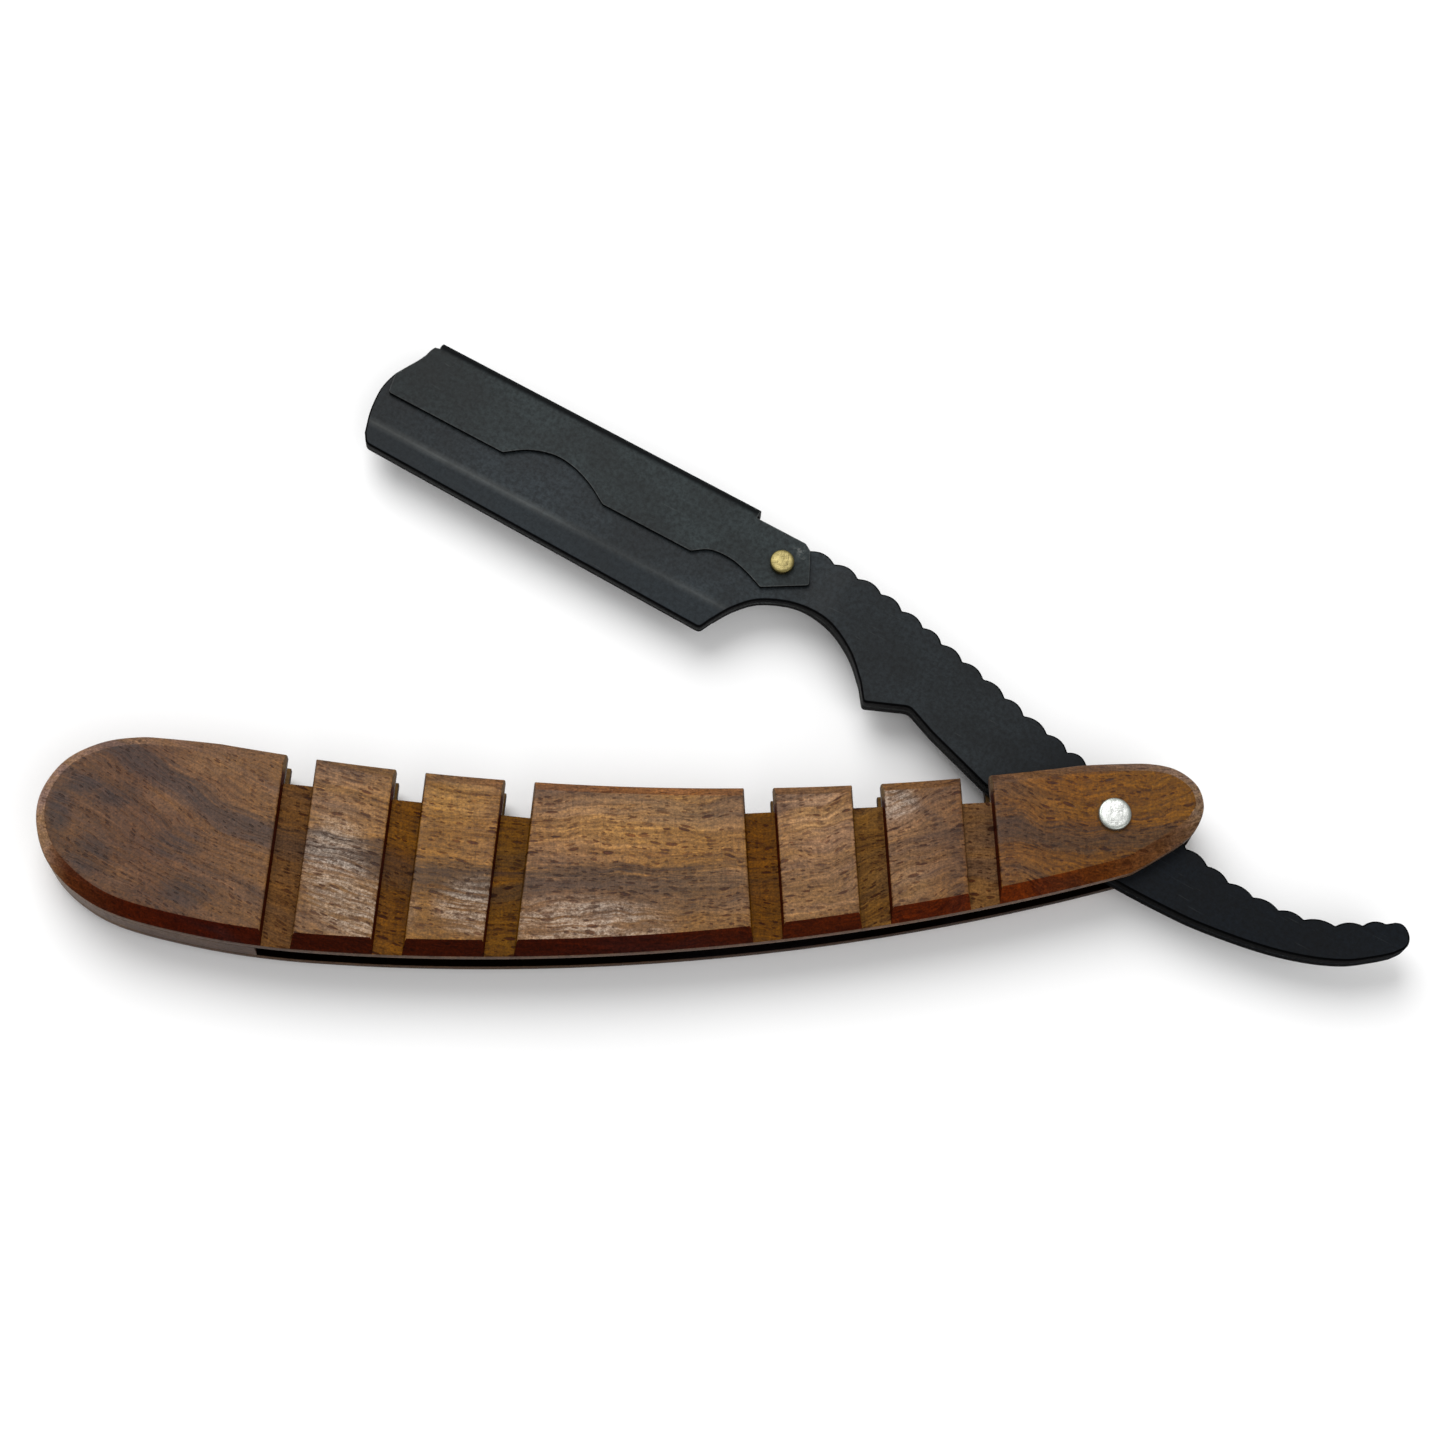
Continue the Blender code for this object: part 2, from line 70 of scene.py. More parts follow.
# the line on which the butt spacer ends, and the inset of a ring on its flat faces
SPACER_END_LOW = (-106.3, -16.9)
SPACER_END_TOP = (-111.6, 8.6)
SPACER_CAP = 0.4

# cross grooves: x and y of a point near the top edge, depth of the notch below it, lean
LEFT_LEAN = math.radians(6.0)
RIGHT_LEAN = math.radians(-3.0)
GROOVES = [(-101.13, 7.0, 3.25, LEFT_LEAN), (-87.58, 5.15, 3.4, LEFT_LEAN),
           (-74.03, 3.9, 4.1, LEFT_LEAN), (-44.28, 3.2, 2.75, RIGHT_LEAN),
           (-30.78, 3.8, 2.6, RIGHT_LEAN), (-17.15, 4.85, 3.0, RIGHT_LEAN)]
GROOVE_HALF = 2.08
GROOVE_DEEP = 1.3
WALL_SLOPE = math.tan(math.radians(12.0))
FLOOR_HALF = GROOVE_HALF - GROOVE_DEEP * WALL_SLOPE

# raised blocks: depths of their rings below the face
LEVELS = [0.0, 0.0, 0.015, 0.05, 0.1, 0.17, 0.26, 0.4, 0.52, 0.6, 0.66, 0.72, 0.8, 0.95, 1.1, 1.2,
          1.26, 1.32, 1.4, 1.6]
# bevel width and depth, what the lower edge adds to each, and the roundings of the bevel
BEVEL = (1.1, 0.7)
LOW_EXTRA = (0.7, 0.6)
BEVEL_SOFT = 0.05
LIP_INSET = 0.12
LIP_DEPTH = 0.02
WALL_ROUND = 0.22
# insets of a ring on the flat face and of the last ring, which is tucked into the base
CAP_INSET = 0.35
FOOT_INSET = 0.12
CORNER_REACH = 1.3
# material slots; lower bevel, groove walls turned toward the middle and faces between the scales
# get painted shade
FACE, SHADED_LOW_BEVEL, RIM, SHADED_WALL, SIDE, FLOOR, INNER = range(7)

# ------------------------ arm
ARM_REST = math.radians(-29.0)
TANG_HALF = 1.75
HEAD_HALF = 1.2
TAPER_FROM = -48.4
TAPER_TO = -43.0
TAPER_CUTS = 12
HEAD_END = -50.2
# outline of a plate, anticlockwise from the toe's lower corner
EDGE_RUN = [(-107.0, -1.8), (-57.4, -2.7)]
FINGER_NOTCH = [(-56.6, -0.95), (-54.85, 1.95), (-52.3, 4.45), (-47.95, 6.15), (-43.5, 5.93),
                (-39.45, 3.92), (-36.55, 1.25), (-35.3, -0.3)]
TANG_STEP = [(-34.5, -1.4), (-29.05, 0.9), (-25.05, -0.7)]
TAIL_LOW = [(-16.05, -3.5), (-4.0, -6.0), (4.0, -6.62), (11.5, -6.6), (16.2, -6.3), (23.4, -5.2),
            (29.0, -3.72), (33.6, -1.75), (36.75, 0.5), (38.5, 2.0)]
TAIL_TIP = [(39.4, 3.2), (39.65, 4.0), (39.45, 4.85), (38.95, 5.5), (38.3, 5.93), (37.65, 6.03),
            (37.0, 5.8)]
# valleys between the scallops along the tang's upper edge
TOP_VALLEYS = [(36.05, 5.05), (33.6, 3.45), (30.6, 1.7), (26.8, 0.5), (23.5, 0.05), (20.0, 0.0),
               (16.5, 0.15), (13.2, 0.8), (9.9, 1.5), (6.7, 2.25), (3.5, 3.0), (0.3, 3.7),
               (-2.9, 4.4), (-6.0, 5.1), (-8.9, 5.4), (-12.2, 6.3), (-15.9, 7.0), (-19.1, 7.9),
               (-22.6, 8.8), (-26.0, 9.55), (-29.4, 10.35), (-32.5, 11.15), (-35.9, 11.8),
               (-39.25, 12.55), (-42.85, 12.9), (-46.45, 13.3), (-50.0, 13.45)]
SPINE = [(-51.0, 13.75), (-70.0, 13.75), (-90.0, 13.75), (-105.9, 13.75)]
TOE = [(-106.15, 12.6), (-107.0, 11.2), (-107.85, 9.75), (-108.65, 8.3), (-109.15, 5.7),
       (-108.8, 2.5), (-107.9, -0.5)]
VALLEY_ROUND = 0.35
# below the crease the head thins toward its cutting edge
CREASE_V = 1.15
CREASE_SLOPE = 0.032
CREASE_SOFT = 0.15
CREASE_CUTS = (-1.2, -0.8, -0.5, -0.3, -0.15, 0.0, 0.15, 0.3, 0.5, 0.8)
# a plate's edge: inset of a ring on the face, rounding, then insets and heights down to the
# parting line between the plates
PLATE_CAP = 0.36
PLATE_ROUND = 0.32
PARTING = [(0.0, 0.2), (0.02, 0.1), (0.06, 0.05), (0.1, 0.05)]
STUDS = {"toe": -99.5, "heel": -69.5}
STUD_V = 8.9
STUD_R = 0.9
STUD_HALF = 1.0
STUD_ROUND = 0.15
# plate slots: face; rounded edge and side, near black as painted shade; parting ridge, lighter as
# a painted highlight
COAT_FACE, COAT_EDGE_SHADE, COAT_SEAM_HIGHLIGHT = range(3)

# ------------------------ cover
COVER_RIVET = (-52.3, 9.9)
COVER_HALF = 1.8
SHEET = 0.5
SHEET_CAP = 0.18
SHEET_ROUND = 0.14
CORNER_R = 0.55
FOLD_V = 15.1
FOLD_FROM = -105.15
FOLD_TO = -58.0
COVER_TOE = [(-105.75, 13.95), (-106.05, 13.3), (-106.3, 12.3), (-106.85, 11.1), (-107.65, 9.65),
             (-108.4, 8.2)]
COVER_CORNER = (-107.9, 5.55)
COVER_ARCH_1 = [(-90.9, 5.55), (-88.1, 7.5), (-84.9, 8.5), (-82.0, 8.3), (-79.1, 7.3),
                (-76.2, 5.65)]
COVER_ARCH_2 = [(-63.3, 5.65), (-61.2, 7.0), (-58.5, 7.25), (-55.9, 6.7), (-53.2, 5.7)]
COVER_TAB = [(-47.8, 9.0), (-49.9, 13.2), (-50.9, 13.8), (-57.7, 13.8)]
COVER_ROUNDS = ((COVER_CORNER, 0.5), (COVER_TAB[0], 0.5), (COVER_TAB[1], 0.8),
                (COVER_TAB[2], 0.6), (COVER_ARCH_1[0], 0.4), (COVER_ARCH_1[-1], 0.4),
                (COVER_ARCH_2[0], 0.4), (COVER_ARCH_2[-1], 0.4))
# half distance between the walls' middle surfaces, and the flat and bent parts of the fold
SHEET_REACH = COVER_HALF - 0.5 * SHEET
SHEET_FLAT = SHEET_REACH - CORNER_R
SHEET_TURN = 0.5 * math.pi * CORNER_R
FOLD_MID = FOLD_V - 0.5 * SHEET
FOLD_CUTS = 8
# sheet slots: faces; outer part of each edge's rounding, lighter as a painted highlight; rest of
# the edge, near black as painted shade
SHEET_FACE, SHEET_RIM_HIGHLIGHT, SHEET_EDGE_SHADE = range(3)

# ------------------------ rivets
PIVOT_R = 2.07
PIVOT_SHANK = 1.2
PIVOT_RISE = 0.8
PIVOT_ROUND = 0.3
BRASS_R = 1.55
BRASS_SHANK = 0.8
BRASS_RISE = 0.95
RIVET_GAP = 0.02

# ------------------------ studio
# this section is in metres, apart from the floor's half size in millimetres
FLOOR_HALF_SIZE = 1500.0
FLOOR_AT = (-0.05, 0.02, -0.0002)
LAMP_AIM = Vector((-0.05, 0.01, 0.0))
# disk lamps: name, place, width and watts
LAMPS = (("key", (-0.25, 0.5, 0.75), 0.8, 6.0), ("fill", (0.35, -0.5, 0.7), 1.0, 3.0))
CAMERA_LENS = 85.0
CAMERA_SENSOR = 36.0
# the camera looks at the aim point, tilted off the vertical toward a bearing from -Y to +X
CAMERA_AIM = Vector((-0.0487733, 0.0117581, 0.0101))
CAMERA_AWAY = 0.4264757
CAMERA_TILT = math.radians(17.27165)
CAMERA_BEARING = math.radians(-7.17526)


# ------------------------ curves
def catmull(p0, p1, p2, p3, t):
    return tuple(0.5 * (2 * b + (c - a) * t + (2 * a - 5 * b + 4 * c - d) * t * t
                        + (3 * b - a - 3 * c + d) * t ** 3) for a, b, c, d in zip(p0, p1, p2, p3))


def spline(points, steps):
    """Smooth curve through the inner points; the two end points only steer it."""
    out = []
    for i in range(1, len(points) - 2):
        out += [catmull(*points[i - 1:i + 3], k / steps) for k in range(steps)]
    return out + [points[-2]]


def through(points, steps):
    first = tuple(2 * a - b for a, b in zip(points[0], points[1]))
    last = tuple(2 * a - b for a, b in zip(points[-1], points[-2]))
    return spline([first] + list(points) + [last], steps)


def on_arc(arc, x):
    centre, edge, radius = arc
    return (x, edge + radius - math.sqrt(radius ** 2 - (x - centre) ** 2))


def fillet(outline, radius_at, steps=4):
    """Rounds the corners of a closed outline; radius_at(point) gives 0 to leave one."""
    out = []
    for i, p in enumerate(outline):
        r = radius_at(p)
        if r <= 0:
            out.append(p)
            continue
        b = Vector(p)
        da = Vector(outline[i - 1]) - b
        dc = Vector(outline[(i + 1) % len(outline)]) - b
        cut = min(r / math.tan(0.5 * da.angle(dc)), 0.45 * da.length, 0.45 * dc.length)
        pa = b + da.normalized() * cut
        pc = b + dc.normalized() * cut
        for k in range(steps + 1):
            t = k / steps
            q = pa * (1 - t) ** 2 + b * 2 * t * (1 - t) + pc * t * t
            out.append((q.x, q.y))
    return out


def edges(outline):
    """Each point of a closed outline with the next one."""
    return zip(outline, outline[1:] + outline[:1])


def anticlockwise(outline):
    area = sum(x0 * y1 - x1 * y0 for (x0, y0), (x1, y1) in edges(outline))
    return outline if area > 0 else outline[::-1]


def clip(outline, point, direction):
    """Part of a closed outline on the left of a line."""
    def side(p):
        return direction[0] * (p[1] - point[1]) - direction[1] * (p[0] - point[0])
    out = []
    for a, b in edges(outline):
        sa, sb = side(a), side(b)
        if sa >= 0:
            out.append(a)
        if sa * sb < 0:
            t = sa / (sa - sb)
            out.append((a[0] + t * (b[0] - a[0]), a[1] + t * (b[1] - a[1])))
    return [p for p, q in edges(out) if math.dist(p, q) > 0.01]


# ------------------------ meshes
def edge_normals(outline):
    out = []
    for a, b in edges(outline):
        run = Vector((b[0] - a[0], b[1] - a[1])).normalized()
        out.append(Vector((-run.y, run.x)))
    return out


def inset(outline, normals, amounts):
    """Moves each edge of an anticlockwise outline inwards by its own amount.

    Where two edges run nearly straight on, their corner moves by the mean of both.
    """
    out = []
    for i, p in enumerate(outline):
        n0, n1 = normals[i - 1], normals[i]
        a0, a1 = amounts[i - 1], amounts[i]
        cross = n0.x * n1.y - n0.y * n1.x
        if abs(cross) < 0.12:
            n = (n0 + n1).normalized()
            move = n * (0.5 * (a0 + a1) / max(n.dot(n1), 0.5))
        else:
            move = Vector(((a0 * n1.y - a1 * n0.y) / cross, (a1 * n0.x - a0 * n1.x) / cross))
        out.append((p[0] + move.x, p[1] + move.y))
    return out


def stack(plan, steps):
    """Rings for loft from (inset, height) steps, each the same outline moved inwards."""
    normals = edge_normals(plan)
    rings = []
    for amount, height in steps:
        ring = inset(plan, normals, [amount] * len(plan))
        rings.append([(x, y, height) for x, y in ring])
    return rings


def loft(bm, rings, slots, cap_slots):
    """Joins rings of equal length and caps both ends; slots(ring, edge) gives the material."""
    loops = [[bm.verts.new(v) for v in ring] for ring in rings]
    n = len(loops[0])
    for k, (upper, lower) in enumerate(zip(loops, loops[1:])):
        for i in range(n):
            j = (i + 1) % n
            face = bm.faces.new((lower[i], lower[j], upper[j], upper[i]))
            face.material_index = slots(k, i)
    caps = [bm.faces.new(loops[0]), bm.faces.new(loops[-1][::-1])]
    for cap, slot in zip(caps, cap_slots):
        cap.material_index = slot
    return caps


def triangulate(bm, faces):
    bm.normal_update()
    bmesh.ops.triangulate(bm, faces=faces, ngon_method='BEAUTY')


def cut_at(bm, axis, values):
    """Cuts the mesh with planes across one axis, so that it can bend there."""
    normal = Vector((0, 0, 0))
    normal[axis] = 1.0
    for value in values:
        geom = bm.verts[:] + bm.edges[:] + bm.faces[:]
        bmesh.ops.bisect_plane(bm, geom=geom, dist=1e-5, plane_co=normal * value, plane_no=normal)


def to_object(bm, name, mats, sharp=32.0, flip=False):
    """Object in metres from a mesh in millimetres; edges over sharp degrees stay crisp."""
    if flip:
        bmesh.ops.reverse_faces(bm, faces=bm.faces[:])
    for vert in bm.verts:
        vert.co *= MM
    mesh = bpy.data.meshes.new(name)
    bm.to_mesh(mesh)
    bm.free()
    for mat in mats:
        mesh.materials.append(mat)
    mesh.shade_smooth()
    mesh.set_sharp_from_angle(angle=math.radians(sharp))
    obj = bpy.data.objects.new(name, mesh)
    bpy.context.scene.collection.objects.link(obj)
    return obj


def lathe(name, profile, centre, metal, steps=72):
    """Turns (radius, height) points about Z; the first and the last lie on the axis."""
    bm = bmesh.new()
    cx, cy = centre
    low = bm.verts.new((cx, cy, profile[0][1]))
    high = bm.verts.new((cx, cy, profile[-1][1]))
    angles = [2 * math.pi * k / steps for k in range(steps)]
    loops = []
    for r, z in profile[1:-1]:
        loops.append([bm.verts.new((cx + r * math.cos(a), cy + r * math.sin(a), z))
                      for a in angles])
    for k in range(steps):
        n = (k + 1) % steps
        bm.faces.new((low, loops[0][n], loops[0][k]))
        for lower, upper in zip(loops, loops[1:]):
            bm.faces.new((lower[k], lower[n], upper[n], upper[k]))
        bm.faces.new((high, loops[-1][k], loops[-1][n]))
    return to_object(bm, name, [metal], 50.0)


# ------------------------ material helpers
def lin(r, g, b):
    """sRGB 0-255 to linear."""
    def one(c):
        c /= 255.0
        return c / 12.92 if c <= 0.04045 else ((c + 0.055) / 1.055) ** 2.4
    return (one(r), one(g), one(b), 1.0)


# values between which most of a noise lies
NOISE = (0.3, 0.7)


class Nodes:
    """Small wrapper that makes a material's node tree readable."""

    def __init__(self, name):
        self.mat = bpy.data.materials.new(name)
        self.mat.use_nodes = True
        self.tree = self.mat.node_tree
        self.shader = self.tree.nodes["Principled BSDF"]

    def put(self, target, value):
        if isinstance(value, bpy.types.NodeSocket):
            self.tree.links.new(value, target)
        else:
            target.default_value = value

    def add(self, kind, *values, **settings):
        """New node with its settings made and its first inputs filled in."""
        node = self.tree.nodes.new("ShaderNode" + kind)
        for key, value in settings.items():
            setattr(node, key, value)
        for socket, value in zip(node.inputs, values):
            self.put(socket, value)
        return node

    def coords(self):
        """Object coordinates in millimetres."""
        place = self.add("TexCoord").outputs["Object"]
        node = self.add("VectorMath", place, operation='SCALE')
        node.inputs["Scale"].default_value = 1000.0
        return node.outputs[0]

    def along_arm(self):
        """Coordinates in millimetres with X along the arm."""
        node = self.add("VectorRotate", self.coords(), rotation_type='Z_AXIS')
        node.inputs["Angle"].default_value = -ARM_REST
        return node.outputs[0]

    def vmath(self, op, *values):
        return self.add("VectorMath", *values, operation=op).outputs[0]

    def math(self, op, *values):
        return self.add("Math", *values, operation=op).outputs[0]

    def chain(self, op, values):
        return functools.reduce(lambda a, b: self.math(op, a, b), values)

    def times(self, *values):
        return self.chain('MULTIPLY', values)

    def plus(self, *values):
        return self.chain('ADD', values)

    def most(self, *values):
        return self.chain('MAXIMUM', values)

    def minus(self, a, b):
        return self.math('SUBTRACT', a, b)

    def swing(self, value, size):
        """A value around one half, turned into one around zero and scaled."""
        return self.times(self.minus(value, 0.5), size)

    def split(self, vector):
        return self.add("SeparateXYZ", vector).outputs

    def join(self, x, y, z):
        return self.add("CombineXYZ", x, y, z).outputs[0]

    def grey(self, value):
        return self.join(value, value, value)

    def noise(self, vector, scale, detail, rough=0.5, distort=0.0):
        node = self.add("TexNoise", vector)
        for key, number in (("Scale", scale), ("Detail", detail), ("Roughness", rough),
                            ("Distortion", distort)):
            node.inputs[key].default_value = number
        return node.outputs["Fac"]

    def grained(self, vector, pitch, detail, rough=0.5, distort=0.0):
        """Noise of a given pitch along and across the grain, and through it where that differs."""
        pitch = (*pitch, pitch[-1])[:3]
        return self.noise(self.vmath('MULTIPLY', vector, pitch), 1.0, detail, rough, distort)

    def cells(self, vector):
        node = self.add("TexVoronoi", vector, voronoi_dimensions='2D')
        node.inputs["Scale"].default_value = 1.0
        return node.outputs

    def span(self, value, low, high, to_low=0.0, to_high=1.0, smooth=True):
        """Maps low and high to two new values and holds them beyond."""
        kind = 'SMOOTHSTEP' if smooth else 'LINEAR'
        return self.add("MapRange", value, low, high, to_low, to_high,
                        interpolation_type=kind).outputs[0]

    def mix(self, fac, a, b, blend='MIX'):
        node = self.add("Mix", fac, data_type='RGBA', blend_type=blend)
        self.put(node.inputs[6], a)
        self.put(node.inputs[7], b)
        return node.outputs[2]

    def tinted(self, base, colour, fac=1.0):
        return self.mix(fac, base, colour, 'MULTIPLY')

    def ramp(self, fac, stops):
        node = self.add("ValToRGB", fac)
        elements = node.color_ramp.elements
        while len(elements) < len(stops):
            elements.new(0.5)
        for element, (place, colour) in zip(elements, stops):
            element.position = place
            element.color = colour
        return node.outputs[0]

    def curve(self, value, points):
        """Smooth curve through (input, output) points, all from 0 to 1."""
        node = self.add("FloatCurve", 1.0, value)
        line = node.mapping.curves[0]
        for _ in range(len(points) - 2):
            line.points.new(0.5, 0.5)
        for point, place in zip(line.points, points):
            point.location = place
        node.mapping.update()
        return node.outputs[0]

    def bump(self, height, strength, distance):
        node = self.add("Bump")
        node.inputs["Strength"].default_value = strength
        node.inputs["Distance"].default_value = distance
        self.put(node.inputs["Height"], height)
        self.put(self.shader.inputs["Normal"], node.outputs[0])

    def set(self, **values):
        for key, value in values.items():
            self.put(self.shader.inputs[key.replace("_", " ")], value)
        return self.mat


# ------------------------ wood
# the handle's extent, to which ramps and curves are scaled
SPAN_X = (-136.0, 14.0)
SPAN_Y = (-18.0, 14.0)
# course of the dark heart line, and its strength along the handle
HEART = [(-136.0, 13.6), (-123.5, 8.0), (-115.0, 2.8), (-105.0, -2.2), (-95.5, -5.4),
         (-86.5, -8.1), (-75.0, -9.4), (-62.0, -9.0), (-50.0, -8.8), (-40.0, -8.2), (-28.0, -4.6),
         (-14.0, -1.6), (-7.0, -3.5), (2.5, -3.9), (8.0, -2.6), (14.0, -0.6)]
HEART_FORCE = [(-136.0, 0.5), (-125.0, 0.8), (-100.0, 0.95), (-85.0, 0.9), (-65.0, 0.95),
               (-48.0, 0.8), (-42.0, 0.25), (-20.0, 0.25), (-14.0, 0.9), (4.0, 0.8), (14.0, 0.3)]
# dark vein that crosses the grain
DIAGONAL = [(-20.2, -18.0), (-19.9, -9.2), (-21.1, -2.0), (-27.7, 3.6), (-36.0, 14.0)]
# ovals (x, y, half width, half height) of pale wood, dark smudges and painted highlight
PALE = ((-60.0, -0.5, 15.0, 5.0), (-82.0, 1.5, 6.0, 4.0), (-37.0, 0.5, 5.0, 4.0),
        (-25.4, -8.6, 3.0, 2.6), (-122.4, -8.4, 3.0, 2.2), (-112.5, 6.0, 5.5, 2.2),
        (-117.5, 1.5, 4.5, 2.4))
SMUDGES = ((-127.5, 3.6, 3.6, 2.0), (-123.6, 2.0, 3.6, 2.0), (-126.8, -5.5, 3.6, 3.2),
           (-116.0, -4.2, 4.2, 2.8), (-114.5, -10.2, 4.6, 2.8), (-130.6, 0.0, 2.0, 4.0))
PAINTED_SHEEN = ((-96.5, -7.0, 5.0, 8.5), (-92.5, -12.5, 7.0, 5.0), (-79.0, -12.0, 6.5, 4.5),
         (-66.0, -14.0, 13.0, 4.0), (-27.5, 1.5, 4.0, 3.0))
# the butt's calmer look gives way to the rest between these two
BUTT_LOOK = (-108.0, -98.0)
# pores: cells per millimetre along and across the grain, and their slant to it
LONG_PORES = (0.42, 1.6)
SHORT_PORES = (0.9, 2.4)
PORE_SLANT = 0.06
# factors that turn the wood's colour into that of dark wood, pale places, threads and pores
HEART_TINT = (0.37, 0.38, 0.46, 1)
PALE_TINT = (1.6, 1.75, 1.8, 1)
THREAD_TINT = (2.0, 2.0, 1.9, 1)
PORE_TINT = (0.3, 0.16, 0.07, 1)


def share(value, limits):
    return (value - limits[0]) / (limits[1] - limits[0])


def wood_grain(n, p):
    """Grain coordinates: X along the handle, Y across the grain, zero on the dark heart line."""
    x, y, z = n.split(p)
    along = n.span(x, *SPAN_X, smooth=False)
    heart = n.curve(along, [(share(a, SPAN_X), share(b, SPAN_Y)) for a, b in HEART])
    heart = n.span(heart, 0.0, 1.0, *SPAN_Y, False)
    bend = n.swing(n.grained(p, (0.05, 0.12), 2.0), 4.0)
    curl = n.swing(n.grained(p, (0.2, 0.16), 1.0), n.span(x, -80.0, -50.0, 0.6, 2.2))
    across = n.plus(n.minus(y, heart), n.plus(bend, curl))
    return x, y, z, across, along


def pore_layer(n, place, size, chance):
    """Dark dashes of random length and strength, in a share of the cells."""
    cell = n.cells(n.vmath('MULTIPLY', place, (size[0], size[1], size[1])))
    red, green, blue = n.split(cell["Color"])
    reach = n.span(green, 0.0, 1.0, 0.14, 0.36, False)
    shape = n.span(n.math('DIVIDE', cell["Distance"], reach), 0.7, 1.15, 1.0, 0.0)
    keep = n.times(n.span(red, chance, chance + 0.03), n.span(blue, 0.0, 1.0, 0.45, 1.0))
    return n.times(shape, keep)


def wood_pores(n, x, across, z):
    """Long pores that crowd in bands and are fainter at the butt, with short ones between."""
    place = n.join(x, n.plus(across, n.times(x, PORE_SLANT)), z)
    crowd = n.span(n.grained(place, (0.1, 0.5), 2.0), 0.36, 0.56, 0.4, 1.0)
    long_ones = n.times(pore_layer(n, place, LONG_PORES, 0.35), crowd,
                        n.span(x, *BUTT_LOOK, 0.35, 1.0))
    return n.most(long_ones, n.times(pore_layer(n, place, SHORT_PORES, 0.6), 0.85))


def oval(n, x, y, spot):
    """Soft patch of weight one in the middle of an oval."""
    a = n.math('DIVIDE', n.minus(x, spot[0]), spot[2])
    b = n.math('DIVIDE', n.minus(y, spot[1]), spot[3])
    return n.span(n.plus(n.times(a, a), n.times(b, b)), 0.0, 1.0, 1.0, 0.0)


def patches(n, x, y, spots):
    """The strongest of several ovals."""
    return n.most(*[oval(n, x, y, spot) for spot in spots])


def drop_from_top(n, x, y):
    """Distance below the handle's upper edge."""
    centre, edge, radius = TOP_ARC
    off = n.minus(x, centre)
    rise = n.math('DIVIDE', n.times(off, off), 2.0 * radius)
    return n.minus(n.plus(rise, edge), y)


def heart_mask(n, x, y, across, along, broad, band, streak):
    """Where dark wood shows: the heart line, broad patches, the crossing vein and the smudges."""
    ragged = n.plus(across, n.swing(streak, 5.0), n.swing(band, 5.0))
    line = n.span(n.math('ABSOLUTE', ragged), 0.6, 3.0, 1.0, 0.0)
    force = n.curve(along, [(share(a, SPAN_X), weight) for a, weight in HEART_FORCE])
    patch = n.times(n.span(broad, 0.54, 0.65), n.span(x, *BUTT_LOOK, 0.8, 0.5))
    tall = n.span(y, *SPAN_Y, smooth=False)
    vein = n.curve(tall, [(share(b, SPAN_Y), share(a, SPAN_X)) for a, b in DIAGONAL])
    off = n.math('ABSOLUTE', n.minus(x, n.span(vein, 0.0, 1.0, *SPAN_X, False)))
    smudge = n.times(patches(n, x, y, SMUDGES), n.span(band, 0.38, 0.56, 0.15, 1.0))
    return n.most(n.times(line, force), patch, n.span(off, 0.2, 1.9, 0.5, 0.0), smudge)


def face_light(n, base, x, y, streak, fine, painted_sheen):
    """A handle face's duller lower half, pale places and painted highlight."""
    base = n.tinted(base, n.grey(n.span(y, -13.0, -3.0, 0.86, 1.0)))
    base = n.tinted(base, PALE_TINT, n.times(patches(n, x, y, PALE), 0.5))
    # painted highlight: pale grey streaks inside its ovals
    painted_glow = n.times(patches(n, x, y, PAINTED_SHEEN), n.span(streak, 0.4, 0.58, 0.1, 1.5),
                   n.span(fine, 0.35, 0.65, 0.5, 1.5), painted_sheen)
    return n.mix(painted_glow, base, lin(174, 162, 150))


